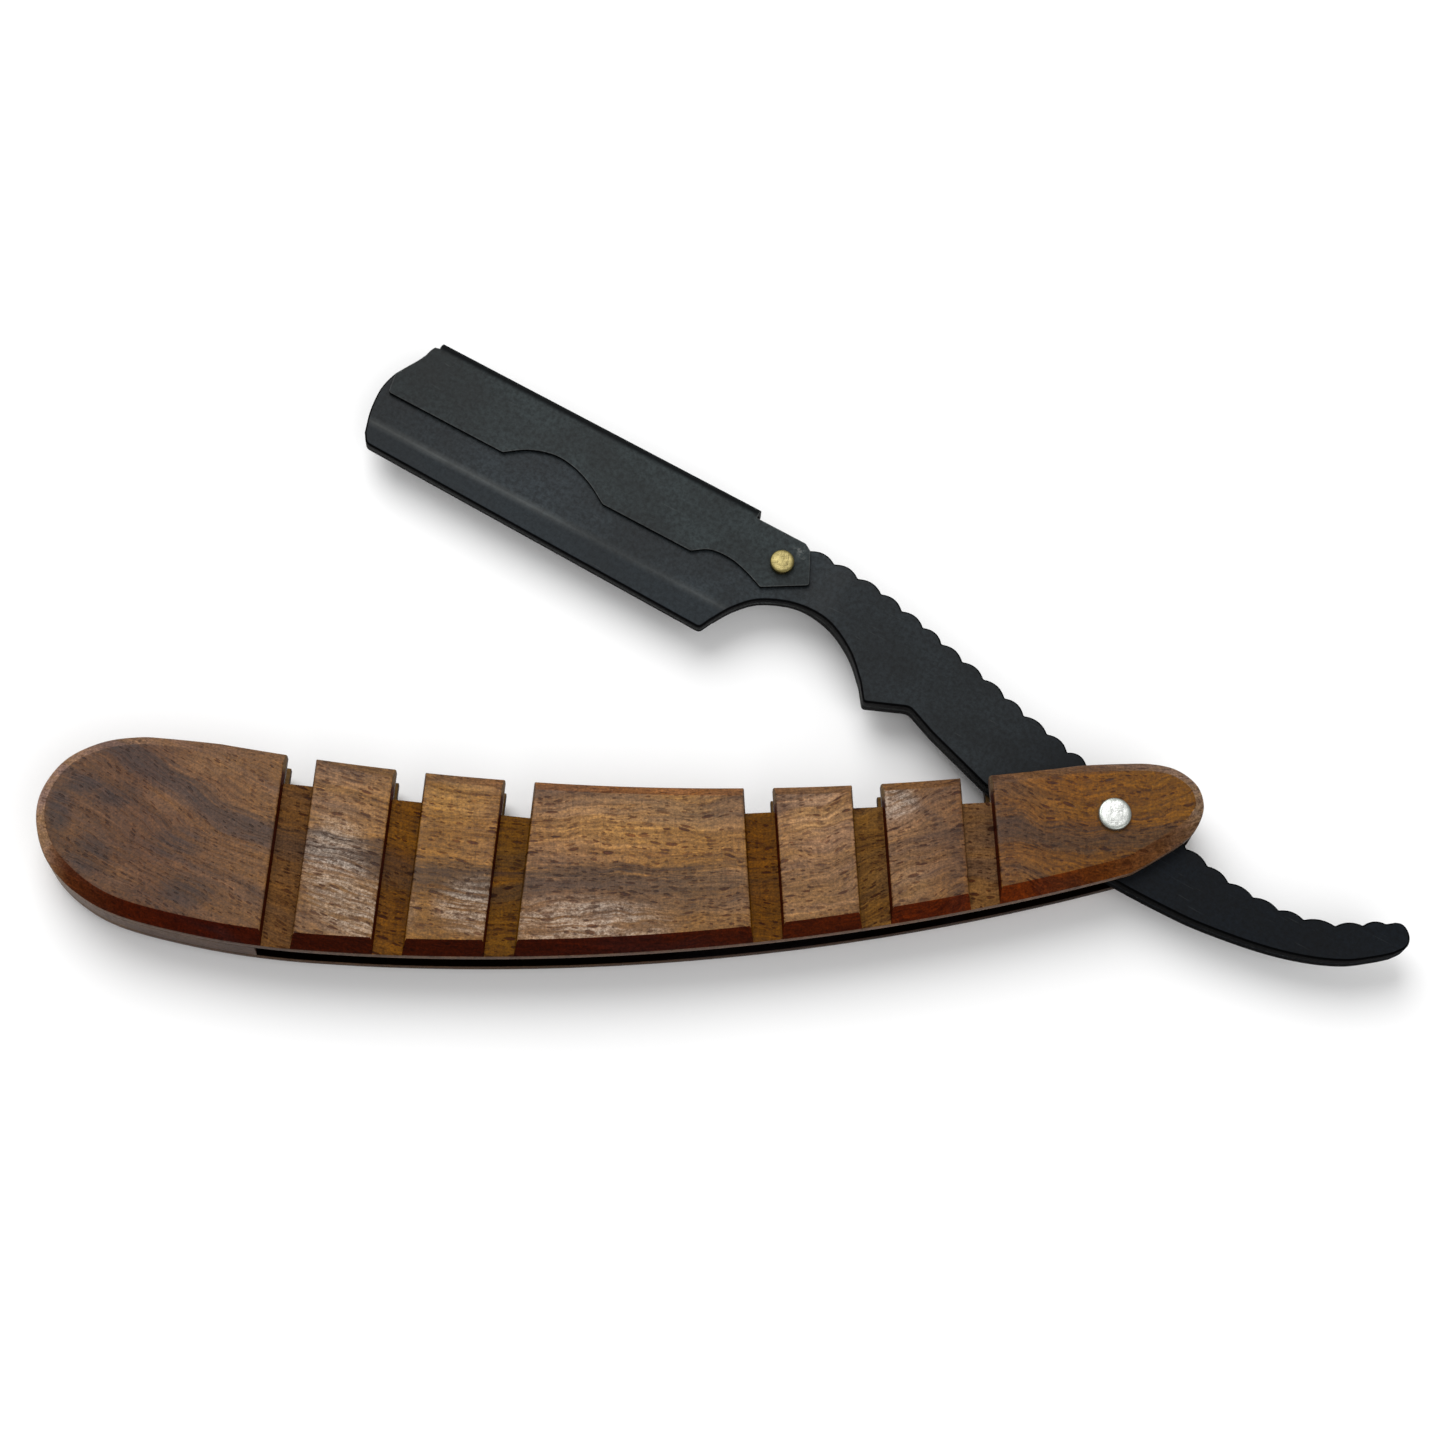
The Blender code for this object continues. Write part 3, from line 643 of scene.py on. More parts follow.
def wood(name, zones, contrast=1.0, force=1.0, pore=1.0, rough=(0.38, 0.54), spec=0.2, painted_sheen=0.0,
         tint=1.0, lit_top=None):
    """Open-pored brown wood.

    zones gives the mean colour along the handle; contrast, force, pore, the sheen argument and
    tint the strength of grain, dark wood, pores, a painted highlight and warm or cool bands;
    lit_top the depth and colour of a painted lit strip along the upper edge.
    """
    n = Nodes(name)
    p = n.coords()
    x, y, z, across, along = wood_grain(n, p)
    grain = n.join(x, across, z)
    broad = n.grained(grain, (0.03, 0.22), 3.0, 0.55)
    band = n.grained(grain, (0.05, 0.8), 4.0, 0.6)
    streak = n.grained(grain, (0.16, 2.0), 4.0, 0.6)
    fibre = n.grained(grain, (0.7, 4.0), 3.0, 0.6)
    fine = n.grained(p, (3.4, 4.2), 4.0, 0.7)
    grit = n.grained(p, (1.9, 2.6), 3.0, 0.7)
    sanding = n.grained(p, (4.5, 0.35, 1.0), 3.0, 0.6)

    tone = n.plus(n.times(band, 0.38), n.times(streak, 0.32), n.times(fibre, 0.3))
    tone = n.plus(n.swing(tone, n.span(x, *BUTT_LOOK, 0.6, 1.0)), 0.5)
    half = 0.135 / contrast
    shade = n.ramp(tone, [(0.5 - half, (0.5, 0.42, 0.36, 1)), (0.5, (1, 1, 1, 1)),
                          (0.5 + half, (1.7, 1.7, 1.55, 1))])
    warm = n.mix(n.span(n.plus(broad, n.times(band, 0.6)), 0.65, 0.95),
                 (1.08, 1.0, 0.76, 1), (0.97, 0.96, 1.14, 1))
    shade = n.tinted(shade, warm, tint)
    base = n.ramp(along, [(share(a, SPAN_X), lin(*colour)) for a, colour in zones])
    base = n.tinted(base, shade)

    mask = n.times(heart_mask(n, x, y, across, along, broad, band, streak), force)
    heartwood = n.mix(1.0, n.tinted(base, HEART_TINT), lin(24, 22, 24), 'ADD')
    base = n.mix(mask, base, heartwood)
    if painted_sheen:
        base = face_light(n, base, x, y, streak, fine, painted_sheen)

    dark_threads = n.span(n.grained(grain, (0.06, 3.0), 3.0, 0.6), 0.58, 0.67)
    pale_threads = n.span(n.grained(grain, (0.07, 3.4), 2.0, 0.5), 0.58, 0.7)
    base = n.tinted(base, THREAD_TINT, n.times(pale_threads, 0.3))
    dark = n.most(n.times(dark_threads, 0.25), n.times(wood_pores(n, x, across, z), pore))
    base = n.tinted(base, PORE_TINT, dark)
    speck = n.times(n.span(fine, *NOISE, 0.64, 1.4), n.span(sanding, *NOISE, 0.9, 1.1),
                    n.span(grit, *NOISE, 0.86, 1.15))
    base = n.tinted(base, n.grey(speck))
    # painted light: a lighter strip below the upper edge, over the painted shade
    if lit_top:
        depth, colour = lit_top
        top = n.span(drop_from_top(n, x, y), depth * 0.6, depth, 1.0, 0.0)
        base = n.mix(top, base, n.tinted(lin(*colour), shade))

    n.bump(n.minus(n.times(streak, 0.5), dark), 0.6, 0.00012)
    gloss = n.span(n.plus(n.times(fibre, 0.6), n.times(fine, 0.4)), *NOISE, *rough)
    return n.set(Base_Color=base, Roughness=gloss, Specular_IOR_Level=spec)


# ------------------------ handle outline
def on_top(x):
    return on_arc(TOP_ARC, x)


def top_run(x_from, x_to, step=2.0):
    count = max(1, round(abs(x_to - x_from) / step))
    return [on_top(x_from + (x_to - x_from) * k / count) for k in range(count + 1)]


def low_run():
    return [on_arc(LOW_ARC, LOW_FROM + (LOW_TO - LOW_FROM) * k / LOW_STEPS)
            for k in range(LOW_STEPS + 1)]


def butt_curve():
    return spline([on_top(TOP_TO + 2.0), on_top(TOP_TO)] + BUTT_END + low_run()[:2], 7)


def pivot_curve():
    return spline(low_run()[-2:] + PIVOT_END + [on_top(TOP_FROM), on_top(TOP_FROM - 3.0)], 6)


def closed(top):
    """Joins a run along the top edge to the butt end, the lower edge and the pivot end."""
    return anticlockwise(top + butt_curve()[:-1] + low_run()[:-1] + pivot_curve()[:-1])


def handle_outline():
    return closed(top_run(TOP_FROM, TOP_TO)[:-1])


def groove_point(groove, along, across):
    """Plan position in a groove's own leaning axes."""
    x, y, _, lean = groove
    return (x + along * math.sin(lean) + across * math.cos(lean),
            y + along * math.cos(lean) - across * math.sin(lean))


def wall_top(groove, across):
    """Where a groove's wall line meets the top edge, found by a few steps along the line."""
    along = 0.0
    for _ in range(6):
        x, y = groove_point(groove, along, across)
        along += on_top(x)[1] - y
    return groove_point(groove, along, across)


def notched_outline():
    """Handle outline with the six notches cut out of the top edge."""
    out = []
    x = TOP_FROM
    for groove in GROOVES[::-1]:
        deep = groove[2]
        out += top_run(x, wall_top(groove, FLOOR_HALF)[0])
        out += [groove_point(groove, -deep, FLOOR_HALF), groove_point(groove, -deep, -FLOOR_HALF)]
        x = wall_top(groove, -FLOOR_HALF)[0]
    return closed(out + top_run(x, TOP_TO)[:-1])


def beside(plan, groove, side):
    """Part of a plan to the right (side 1) or to the left (side -1) of a groove."""
    lean = groove[3]
    start = groove_point(groove, 0.0, side * GROOVE_HALF)
    return clip(plan, start, (-side * math.sin(lean), -side * math.cos(lean)))


def block_outlines():
    """Plan of each raised block, wall lines taken at the top face."""
    blocks = []
    for i in range(len(GROOVES) + 1):
        plan = handle_outline()
        if i > 0:
            plan = beside(plan, GROOVES[i - 1], 1.0)
        if i < len(GROOVES):
            plan = beside(plan, GROOVES[i], -1.0)
        blocks.append(clear_corners(plan))
    return blocks


def clear_corners(plan):
    """Drops outline points too close to a groove wall's ends, so that insets stay in order."""
    plan = anticlockwise(plan)
    ends = set()
    for (a, b), normal in zip(edges(plan), edge_normals(plan)):
        if edge_kind(a, b, normal)[0]:
            ends |= {a, b}
    return [p for p in plan if p in ends or all(math.dist(p, e) > CORNER_REACH for e in ends)]


def soft(value, width):
    """Value where it is positive and zero where it is negative, with a rounded corner."""
    return width * math.log1p(math.exp(min(value / width, 60.0)))


def edge_kind(a, b, normal):
    """(is a groove wall, weight of the wide lower bevel) for one edge of a block.

    Groove walls are the only long edges that face along the handle.
    """
    wall = math.dist(a, b) > 5.0 and abs(normal.x) > 0.95
    low = min(max((normal.y - 0.1) / 0.6, 0.0), 1.0)
    return wall, low


def bevel(low):
    """Width and depth of the bevel, from the upper edges (low is 0) to the lower edge (1)."""
    return BEVEL[0] + LOW_EXTRA[0] * low, BEVEL[1] + LOW_EXTRA[1] * low


def edge_inset(kind, depth):
    """How far an edge of a block stands in at a depth below the face."""
    wall, low = kind
    if wall:
        rounding = 0.0
        if depth < WALL_ROUND:
            rounding = WALL_ROUND - math.sqrt(WALL_ROUND ** 2 - (WALL_ROUND - depth) ** 2)
        return rounding - min(depth, GROOVE_DEEP) * WALL_SLOPE
    width, deep = bevel(low)
    lip = LIP_INSET * math.exp(-depth / LIP_DEPTH)
    return soft(width * (1.0 - depth / deep), BEVEL_SOFT) + lip


def shaded_wall(index, normal):
    """True for the groove walls turned toward the middle of the handle; these get dark wood as
    painted shade.
    """
    return index <= 2 if normal.x < 0.0 else index >= 4


def add_block(bm, index, plan, z_outer, facing):
    plan = anticlockwise(plan)
    normals = edge_normals(plan)
    kinds = [edge_kind(a, b, normal) for (a, b), normal in zip(edges(plan), normals)]
    tuck = {0: CAP_INSET, len(LEVELS) - 1: FOOT_INSET}
    rings = []
    for k, depth in enumerate(LEVELS):
        amounts = [edge_inset(kind, depth) + tuck.get(k, 0.0) for kind in kinds]
        rings.append([(x, y, z_outer - facing * depth) for x, y in inset(plan, normals, amounts)])

    def slot_at(k, i):
        wall, low = kinds[i]
        depth = 0.5 * (LEVELS[k] + LEVELS[k + 1])
        if k < 2 or wall and depth < 0.2:
            return FACE
        if wall:
            return SHADED_WALL if shaded_wall(index, normals[i]) else FLOOR
        if depth > bevel(low)[1]:
            return SIDE
        return SHADED_LOW_BEVEL if low > 0.45 else RIM
    loft(bm, rings, slot_at, (FACE, INNER))


def add_base(bm, z_floor, z_inner, facing):
    deep = abs(z_floor - z_inner)
    steps = [(0.25, 0.0), (0.1, 0.0), (0.03, 0.03), (0.0, 0.1), (0.0, deep - 0.15),
             (0.04, deep - 0.05), (0.13, deep), (0.5, deep)]
    inner = len(steps) - 3

    def slot_at(k, i):
        if k < 2:
            return FLOOR
        return INNER if k >= inner else SIDE
    rings = stack(notched_outline(), [(amount, z_floor - facing * d) for amount, d in steps])
    loft(bm, rings, slot_at, (FLOOR, INNER))


def make_scale(name, z_inner, z_outer, mats):
    facing = 1.0 if z_outer > z_inner else -1.0
    bm = bmesh.new()
    add_base(bm, z_outer - facing * GROOVE_DEEP, z_inner, facing)
    for index, plan in enumerate(block_outlines()):
        add_block(bm, index, plan, z_outer, facing)
    return to_object(bm, name, mats, 40.0, flip=facing < 0)


# ------------------------ arm
def scallops(valleys, steps=9):
    """Low arches from valley to valley, a little flatter toward the tail's tip."""
    out = []
    for (x0, y0), (x1, y1) in zip(valleys, valleys[1:]):
        run = Vector((x1 - x0, y1 - y0))
        rise = 0.6 - 0.15 * min(max(x0 / 12.0, 0.0), 1.0)
        side = Vector((run.y, -run.x)).normalized() * rise
        for k in range(steps):
            t = k / steps
            lift = 4 * t * (1 - t)
            out.append((x0 + t * run.x + lift * side.x, y0 + t * run.y + lift * side.y))
    return out + [valleys[-1]]


def arm_outline():
    tail = through(TAIL_LOW, 8)[:-1] + through([TAIL_LOW[-1]] + TAIL_TIP, 4)
    corners = EDGE_RUN + through(FINGER_NOTCH, 8) + TANG_STEP + tail
    corners += scallops(TOP_VALLEYS) + SPINE + through(TOE, 5)
    radii = {EDGE_RUN[0]: 1.0, EDGE_RUN[1]: 0.8, SPINE[-1]: 0.6, TANG_STEP[0]: 0.6,
             TANG_STEP[1]: 1.6}
    radii.update({p: VALLEY_ROUND for p in TOP_VALLEYS})
    return anticlockwise(fillet(corners, lambda p: radii.get(p, 0.0)))


def half_thickness(u, v):
    t = min(max((u - TAPER_FROM) / (TAPER_TO - TAPER_FROM), 0.0), 1.0)
    thick = HEAD_HALF + (TANG_HALF - HEAD_HALF) * t * t * (3 - 2 * t)
    if u < HEAD_END:
        thick -= CREASE_SLOPE * soft(CREASE_V - v, CREASE_SOFT)
    return thick


def quarter(radius, steps):
    """Rounded edge as (inset, depth) from the face down to the side."""
    out = []
    for k in range(steps + 1):
        a = 0.5 * math.pi * k / steps
        out.append((radius * (1 - math.sin(a)), radius * (1 - math.cos(a))))
    return out


def make_plate(name, facing, mats):
    """One arm plate: lofted at the tang's thickness, then thinned along the head."""
    steps = [(PLATE_CAP, TANG_HALF)] + [(i, TANG_HALF - d) for i, d in quarter(PLATE_ROUND, 6)]
    steps += PARTING
    seam_from = len(steps) - len(PARTING)

    def slot_at(k, i):
        if k >= seam_from:
            return COAT_SEAM_HIGHLIGHT
        return COAT_EDGE_SHADE if k >= 2 else COAT_FACE
    bm = bmesh.new()
    triangulate(bm, loft(bm, stack(arm_outline(), steps), slot_at, (COAT_FACE, COAT_EDGE_SHADE)))
    step = (TAPER_TO - TAPER_FROM) / TAPER_CUTS
    cut_at(bm, 0, [HEAD_END] + [TAPER_FROM + step * k for k in range(TAPER_CUTS + 1)])
    cut_at(bm, 1, [CREASE_V + off for off in CREASE_CUTS])
    for vert in bm.verts:
        u, v, h = vert.co
        if h > 0.5 * HEAD_HALF:
            h -= TANG_HALF - half_thickness(u, v)
        vert.co.z = MID + facing * h
    return to_object(bm, name, mats, 35.0, flip=facing < 0)


# ------------------------ cover
def fold(u, q, h):
    """Bends the flat sheet; q is 0 on the fold's middle line, h is height over the mid-surface."""
    side = 1.0 if q >= 0 else -1.0
    d = abs(q)
    if d <= SHEET_FLAT:
        return (u, FOLD_MID + h, MID + side * d)
    if d <= SHEET_FLAT + SHEET_TURN:
        a = (d - SHEET_FLAT) / CORNER_R
        return (u, FOLD_MID - CORNER_R + (CORNER_R + h) * math.cos(a),
                MID + side * (SHEET_FLAT + (CORNER_R + h) * math.sin(a)))
    return (u, FOLD_MID - CORNER_R - (d - SHEET_FLAT - SHEET_TURN), MID + side * (SHEET_REACH + h))


def wall_q(v):
    """Distance along the sheet from the fold's middle line to a height v on a wall."""
    return SHEET_FLAT + SHEET_TURN + (FOLD_MID - CORNER_R) - v


def cover_half_outline():
    toe = through(COVER_TOE, 4) + [COVER_CORNER]
    return toe + through(COVER_ARCH_1, 8) + through(COVER_ARCH_2, 8) + COVER_TAB


def make_cover(mats):
    """The cover, lofted as a flat sheet and then folded over the spine."""
    half = [(u, wall_q(v)) for u, v in cover_half_outline()]
    edge_q = wall_q(FOLD_MID - CORNER_R - 0.2)
    front = [(FOLD_FROM, edge_q)] + half + [(FOLD_TO, half[-1][1])]
    rear = [(u, -q) for u, q in front[::-1]]
    radii = {(u, wall_q(v)): r for (u, v), r in COVER_ROUNDS}
    plan = anticlockwise(fillet(front + rear, lambda p: radii.get((p[0], abs(p[1])), 0.0)))
    thick = 0.5 * SHEET
    edge = quarter(SHEET_ROUND, 4)
    steps = [(SHEET_CAP, thick)] + [(i, thick - d) for i, d in edge]
    steps += [(i, d - thick) for i, d in edge[::-1]] + [(SHEET_CAP, -thick)]
    last = len(steps) - 2

    def slot_at(k, i):
        k = min(k, last - k)
        if k == 0:
            return SHEET_FACE
        return SHEET_RIM_HIGHLIGHT if k <= 2 else SHEET_EDGE_SHADE
    bm = bmesh.new()
    triangulate(bm, loft(bm, stack(plan, steps), slot_at, (SHEET_FACE, SHEET_FACE)))
    lines = [SHEET_FLAT + SHEET_TURN * k / FOLD_CUTS for k in range(FOLD_CUTS + 1)]
    cut_at(bm, 1, [-q for q in lines] + lines)
    for vert in bm.verts:
        vert.co = Vector(fold(*vert.co))
    bmesh.ops.recalc_face_normals(bm, faces=bm.faces[:])
    return to_object(bm, "cover_sheet", mats, 40.0)


# ------------------------ other materials
# stretches of U and V over which the coating's look changes
TOE_FADE = (-108.0, -88.0)
TANG_FADE = (-60.0, -35.0)
TAIL_FADE = (-20.0, 8.0)
FOLD_FADE = (FOLD_V - 1.3, FOLD_V - 0.65)
# oval of scuffs on the cover beside the brass rivet
SCUFF = (-50.3, 12.6, 2.2, 1.2)
TAIL_TINT = (0.8, 1.1, 1.7, 1)


def coat(name, colour, worn_and_lit, wear, rough=(0.42, 0.56), spec=0.14, head=False, folded=False):
    """Satin blue-black coating with faint cloudiness, specks and rubbed spots.

    wear gives the noise values between which abraded specks appear. head adds the crease's light
    line, painted highlight on the bend and abraded coating on its ridge, and the darker ground
    edge;
    folded the darker fold and the scuffs by the brass rivet.
    """
    n = Nodes(name)
    p = n.along_arm()
    u, v, _ = n.split(p)
    cloud = n.grained(p, (0.09, 0.14), 4.0, 0.6)
    hair = n.grained(p, (0.2, 5.0, 1.0), 3.0, 0.6, 0.4)
    fine = n.noise(p, 4.2, 4.0, 0.7)
    speck = n.noise(p, 2.6, 6.0, 0.8)
    grit = n.noise(p, 1.7, 4.0, 0.75)
    tone = n.times(n.span(cloud, *NOISE, 0.65, 1.35), n.span(grit, *NOISE, 0.55, 1.5),
                   n.span(u, *TOE_FADE, 0.6, 1.0), n.span(u, *TANG_FADE, 1.0, 0.6),
                   n.span(u, *TAIL_FADE, 1.0, 0.3))
    base = n.tinted(colour, n.grey(tone))
    base = n.tinted(base, TAIL_TINT, n.span(u, *TAIL_FADE, 0.0, 0.6))
    rubbed_and_lit = n.most(n.times(n.span(speck, *wear), 0.35), n.times(n.span(hair, 0.64, 0.78), 0.14))
    if head:
        on_head = n.span(u, -52.0, -56.0)
        # light line along the crease: painted highlight on the bend, and abraded coating on its
        # ridge
        off = n.math('ABSOLUTE', n.minus(v, CREASE_V))
        crease = n.most(n.span(off, 0.05, 0.4, 0.2, 0.0), n.span(off, 0.1, 0.9, 0.13, 0.0))
        crease = n.times(crease, n.span(cloud, 0.35, 0.65, 0.5, 1.4),
                         n.span(u, -106.0, -60.0, 1.15, 0.6))
        rubbed_and_lit = n.most(rubbed_and_lit, n.times(crease, on_head))
        ground = n.times(n.span(v, CREASE_V, CREASE_V - 0.6), on_head)
        base = n.mix(n.times(ground, 0.45), base, lin(14, 22, 28))
    if folded:
        base = n.mix(n.times(n.span(v, *FOLD_FADE), 0.9), base, lin(2, 3, 4))
        scuff = n.span(n.noise(p, 1.4, 5.0, 0.7), 0.5, 0.62)
        rubbed_and_lit = n.most(rubbed_and_lit, n.times(scuff, oval(n, u, v, SCUFF), 0.5))
    base = n.mix(rubbed_and_lit, base, worn_and_lit)
    gloss = n.span(n.plus(n.times(cloud, 0.5), n.times(fine, 0.5)), 0.35, 0.65, *rough)
    gloss = n.plus(gloss, n.span(u, *TAIL_FADE, 0.0, 0.22))
    if folded:
        gloss = n.plus(gloss, n.span(v, *FOLD_FADE, 0.0, 0.4))
    n.bump(fine, 0.5, 0.00003)
    return n.set(Base_Color=base, Roughness=gloss, Metallic=0.0, Specular_IOR_Level=spec)


def bright_metal(name, colour, dull, rough, dent=0.25, centre=None, ring=None):
    """Bare metal with random fine scratches and soft dents.

    With a centre, ring gives two radii and the darker colour that the rim fades to, as painted
    shade on the rounded rim.
    """
    n = Nodes(name)
    p = n.coords()
    broad = n.noise(p, 1.1, 3.0, 0.5)
    marks = n.most(n.span(n.grained(p, (0.8, 6.0, 3.0), 3.0, 0.6, 0.3), 0.54, 0.72),
                   n.span(n.grained(p, (5.0, 1.1, 3.0), 3.0, 0.6, 0.3), 0.54, 0.72))
    base = n.mix(n.times(marks, 0.4), colour, dull)
    # painted shade: the head darkens toward its rounded rim
    if ring:
        x, y, _ = n.split(n.vmath('SUBTRACT', p, (*centre, 0.0)))
        away = n.math('SQRT', n.plus(n.times(x, x), n.times(y, y)))
        base = n.mix(n.span(away, ring[0], ring[1], 0.0, 0.7), base, ring[2])
    gloss = n.plus(n.span(broad, *NOISE, *rough), n.times(marks, 0.1))
    n.bump(n.plus(n.times(broad, 1.6), n.times(marks, -0.2)), dent, 0.0001)
    return n.set(Base_Color=base, Roughness=gloss, Metallic=1.0)


# ------------------------ build
# mean colours along the handle, as (x, sRGB 0-255)
FACE_ZONES = [(-136, (80, 55, 34)), (-120, (80, 52, 31)), (-106, (102, 71, 41)),
              (-97, (117, 86, 54)), (-84, (114, 79, 33)), (-70, (122, 88, 53)),
              (-52, (118, 84, 43)), (-38, (124, 92, 61)), (-25, (109, 79, 50)),
              (-17, (97, 63, 28)), (-4, (97, 59, 1)), (12, (94, 59, 1))]
RIM_ZONES = [(-136, (132, 106, 88)), (-128, (120, 92, 72)), (-115, (104, 76, 54)),
             (-97, (104, 76, 48)), (-84, (106, 78, 48)), (-70, (122, 80, 42)),
             (-52, (118, 76, 38)), (-38, (104, 74, 44)), (-25, (104, 72, 40)),
             (-17, (92, 62, 34)), (-4, (88, 60, 34)), (14, (112, 92, 76))]
# lower bevel: its own red-brown, darkened further as painted shade; at the butt it fades in from
# the rim's colour
LOW_BEVEL_SHADE_ZONES = [(-136, (128, 102, 84)), (-132.2, (126, 100, 82)), (-131.0, (98, 68, 48)),
             (-129.3, (66, 32, 14)), (-122, (56, 16, 2)), (-115, (52, 11, 1)), (-90, (42, 10, 1)),
             (-60, (50, 11, 1)), (-38, (56, 17, 1)), (-24, (68, 22, 1)), (-9, (80, 31, 2)),
             (-1, (82, 42, 9)), (6, (90, 58, 30)), (9, (100, 74, 54)), (11, (108, 88, 72))]
SIDE_ZONES = [(-136, (140, 126, 112)), (-128, (106, 88, 74)), (-120, (84, 66, 54)),
              (-104, (78, 60, 48)), (-60, (84, 62, 46)), (0, (92, 70, 56)), (14, (100, 80, 66))]
# rear scale's side: darker than the front's as painted shade, darkest toward the pivot
REAR_SIDE_SHADE_ZONES = [(-136, (130, 116, 102)), (-128, (98, 80, 66)), (-120, (78, 60, 48)),
              (-104, (66, 48, 34)), (-60, (58, 40, 26)), (-20, (44, 28, 18)), (-8, (34, 21, 13)),
              (14, (58, 42, 30))]
FLOOR_ZONES = [(-136, (88, 59, 25)), (-101, (88, 58, 25)), (-88, (86, 52, 1)), (-74, (88, 56, 4)),
               (-44, (84, 50, 1)), (-31, (92, 62, 20)), (-17, (96, 67, 36)), (14, (96, 67, 36))]
# groove walls turned toward the middle: dark red painted shade
SHADED_WALL_ZONES = [(-136, (50, 12, 1)), (14, (56, 16, 2))]
# faces between the scales: near black painted shade
INNER_SHADE_ZONES = [(-136, (5, 3, 2)), (14, (6, 3, 2))]


def wood_set():
    """The handle's woods in the order of the slots FACE to INNER."""
    return [wood("wood_face", FACE_ZONES, painted_sheen=0.26),
            wood("wood_low_bevel_painted_shade", LOW_BEVEL_SHADE_ZONES, 0.9, 0.4, 0.6, (0.4, 0.55), 0.03),
            wood("wood_rim", RIM_ZONES, 0.8, 0.7, 0.7, (0.4, 0.55), 0.15),
            # the wall and inner woods are painted shade, with a painted lit strip below the upper
            # edge
            wood("wood_wall_painted_shade", SHADED_WALL_ZONES, 0.9, 0.3, 0.5, (0.5, 0.6), 0.05,
                 lit_top=(2.6, (104, 82, 54))),
            wood("wood_side", SIDE_ZONES, 0.7, 0.4, 0.4, (0.5, 0.6), 0.1, tint=0.3),
            wood("wood_floor", FLOOR_ZONES, 0.9, 0.7, 1.1, (0.42, 0.56), 0.06),
            wood("wood_inner_painted_shade", INNER_SHADE_ZONES, 0.8, 0.4, 0.4, (0.6, 0.7), 0.0,
                 lit_top=(6.0, (92, 70, 40)))]


def place(obj, body, *nodes):
    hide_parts(*nodes)
    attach(obj, body)
    return obj


def build_handle():
    mats = wood_set()
    front = make_scale("scale_front", FRONT_INNER, FRONT_OUTER, mats)
    place(front, "handle", "front_scale")
    behind = mats[:]
    # the rear scale's side is darker as painted shade
    behind[SIDE] = wood("wood_rear_side_painted_shade", REAR_SIDE_SHADE_ZONES, 0.7, 0.4, 0.4, (0.5, 0.6), 0.06, tint=0.3)
    rear = make_scale("scale_rear", REAR_INNER, REAR_OUTER, behind)
    place(rear, "handle", "rear_scale")
    direction = Vector(SPACER_END_TOP) - Vector(SPACER_END_LOW)
    plan = anticlockwise(clip(handle_outline(), SPACER_END_LOW, direction))
    steps = [(SPACER_CAP, FRONT_INNER), (0.0, FRONT_INNER), (0.0, FRONT_INNER - 0.1), (0.0, MID),
             (0.0, REAR_INNER + 0.1), (0.0, REAR_INNER), (SPACER_CAP, REAR_INNER)]
    bm = bmesh.new()
    loft(bm, stack(plan, steps), lambda k, i: 0, (0, 0))
    spacer = to_object(bm, "spacer_butt", [mats[SIDE]])
    place(spacer, "handle", "butt_spacer")


def build_pivot():
    # the pivot head darkens toward its rounded rim as painted shade
    metal = bright_metal("pivot_metal", lin(222, 224, 220), lin(150, 155, 148), (0.26, 0.38), 0.35,
                         (0.0, 0.0), (1.45, 1.8, lin(128, 134, 126)))
    top = FRONT_OUTER + PIVOT_RISE
    under = FRONT_OUTER + RIVET_GAP
    above = REAR_OUTER - RIVET_GAP
    profile = [(0.0, 0.0), (0.9, 0.0), (1.7, 0.0), (1.95, 0.04), (PIVOT_R, 0.15), (PIVOT_R, above),
               (PIVOT_SHANK, above), (PIVOT_SHANK, under), (PIVOT_R, under)]
    for k in range(9):
        a = 0.5 * math.pi * k / 8
        profile.append((PIVOT_R - PIVOT_ROUND + PIVOT_ROUND * math.cos(a),
                        top - PIVOT_ROUND + 0.26 * math.sin(a)))
    profile += [(1.2, top - 0.02), (0.6, top), (0.0, top)]
    rivet = lathe("rivet_pivot", profile, (0.0, 0.0), metal)
    place(rivet, "handle", "pivot_rivet")


def in_arm(obj):
    obj.data.transform(Matrix.Rotation(ARM_REST, 4, 'Z'))
    return obj


def build_arm():
    face = coat("coat_face", lin(31, 36, 39), lin(110, 112, 110), (0.66, 0.8), head=True)
    # the edge coat is near black as painted shade, the seam coat lighter as a painted highlight
    edge = coat("coat_edge_painted_shade", lin(3, 3, 4), lin(40, 42, 42), (0.7, 0.8), (0.5, 0.6), 0.03)
    seam_highlight = coat("coat_seam_painted_highlight", lin(50, 52, 52), lin(110, 110, 106), (0.5, 0.7), (0.5, 0.6), 0.05)
    for name, facing, node in (("plate_front", 1.0, "arm_front_plate"),
                               ("plate_rear", -1.0, "arm_rear_plate")):
        plate = in_arm(make_plate(name, facing, [face, edge, seam_highlight]))
        place(plate, "arm", node)
    steel = bright_metal("stud_metal", lin(170, 170, 168), lin(110, 110, 108), (0.3, 0.42))
    low, high = MID - STUD_HALF, MID + STUD_HALF
    shoulder = high - STUD_ROUND
    profile = [(0.0, low), (STUD_R, low), (STUD_R, shoulder)]
    profile += [(STUD_R - STUD_ROUND * (1 - math.cos(a)), shoulder + STUD_ROUND * math.sin(a))
                for a in (0.4, 0.8, 1.2, 1.57)]
    profile += [(0.4, high), (0.0, high)]
    for label, u in STUDS.items():
        stud = in_arm(lathe("stud_" + label, profile, (u, STUD_V), steel, 40))
        place(stud, "arm", "blade_stud_" + label)


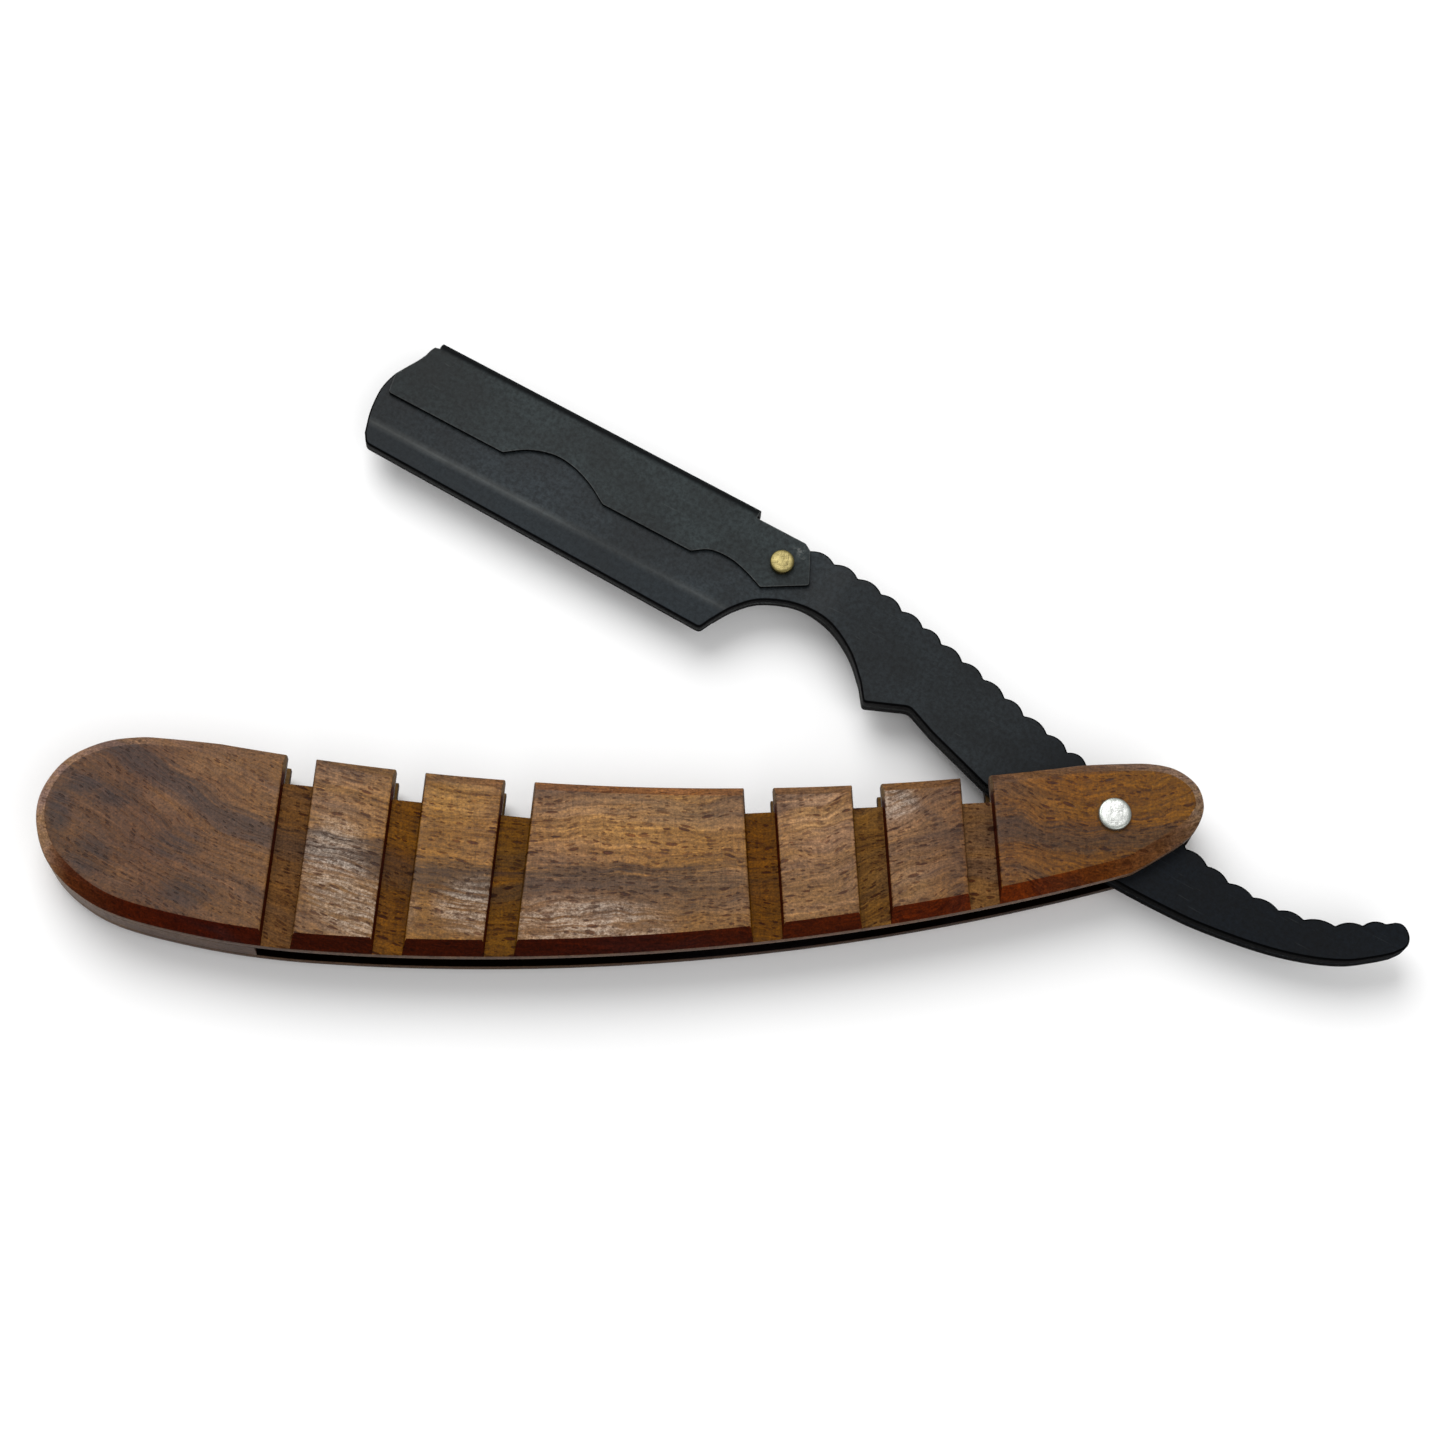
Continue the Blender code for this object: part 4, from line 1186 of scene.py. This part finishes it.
def build_cover():
    face = coat("cover_face", lin(33, 39, 40), lin(110, 112, 110), (0.68, 0.82), folded=True)
    # the rim coat is lighter as a painted highlight, the edge coat near black as painted shade
    rim = coat("cover_rim_painted_highlight", lin(50, 53, 53), lin(120, 118, 112), (0.6, 0.75), (0.4, 0.5), 0.3)
    edge = coat("cover_edge_painted_shade", lin(3, 3, 4), lin(40, 42, 42), (0.7, 0.8), (0.5, 0.6), 0.03)
    sheet = in_arm(make_cover([face, rim, edge]))
    place(sheet, "cover", "cover")
    middle = Matrix.Rotation(ARM_REST, 2) @ Vector(COVER_RIVET)
    # the brass head darkens toward its rounded rim as painted shade
    brass = bright_metal("brass_metal", lin(146, 134, 90), lin(92, 80, 44), (0.3, 0.44), 0.4,
                         middle, (1.0, 1.45, lin(84, 76, 40)))
    under = COVER_HALF + RIVET_GAP
    top = COVER_HALF + BRASS_RISE
    half = [(BRASS_SHANK, under), (BRASS_R, under), (BRASS_R, top - 0.25)]
    half += [(BRASS_R - 0.22 * (1 - math.cos(a)), top - 0.25 + 0.2 * math.sin(a))
             for a in (0.3, 0.6, 0.9, 1.2, 1.57)]
    half += [(1.1, top - 0.045), (0.7, top - 0.02), (0.35, top)]
    profile = [(0.0, MID - top)] + [(r, MID - h) for r, h in half[::-1]]
    profile += [(r, MID + h) for r, h in half] + [(0.0, MID + top)]
    rivet = in_arm(lathe("rivet_cover", profile, COVER_RIVET, brass))
    place(rivet, "arm", "cover_rivet")


def build_stage():
    n = Nodes("floor_white")
    tone = n.span(n.noise(n.coords(), 0.02, 2.0), *NOISE, 0.94, 0.96)
    n.set(Base_Color=n.grey(tone), Roughness=0.6)
    bm = bmesh.new()
    bmesh.ops.create_grid(bm, x_segments=8, y_segments=8, size=FLOOR_HALF_SIZE)
    plane = to_object(bm, "floor", [n.mat])
    plane.location = FLOOR_AT
    world = bpy.data.worlds.new("studio")
    world.use_nodes = True
    background = world.node_tree.nodes["Background"]
    background.inputs["Color"].default_value = (1.0, 1.0, 1.0, 1.0)
    background.inputs["Strength"].default_value = 0.5
    bpy.context.scene.world = world
    for name, spot, size, power in LAMPS:
        light = bpy.data.lights.new(name, 'AREA')
        light.shape = 'DISK'
        light.size = size
        light.energy = power
        lamp = bpy.data.objects.new(name, light)
        bpy.context.scene.collection.objects.link(lamp)
        lamp.location = spot
        toward = LAMP_AIM - Vector(spot)
        lamp.rotation_euler = toward.to_track_quat('-Z', 'Y').to_euler()
    bpy.context.scene.view_settings.view_transform = 'Standard'


def build_camera():
    data = bpy.data.cameras.new("camera")
    data.lens = CAMERA_LENS
    data.sensor_width = CAMERA_SENSOR
    camera = bpy.data.objects.new("camera", data)
    bpy.context.scene.collection.objects.link(camera)
    reach = math.sin(CAMERA_TILT)
    back = Vector((reach * math.sin(CAMERA_BEARING), -reach * math.cos(CAMERA_BEARING),
                   math.cos(CAMERA_TILT)))
    turn = Vector((0.0, 0.0, 1.0)).rotation_difference(back).to_matrix().to_4x4()
    camera.matrix_world = Matrix.Translation(CAMERA_AIM + back * CAMERA_AWAY) @ turn
    bpy.context.scene.camera = camera


build_camera()
build_handle()
build_pivot()
build_arm()
build_cover()
build_stage()
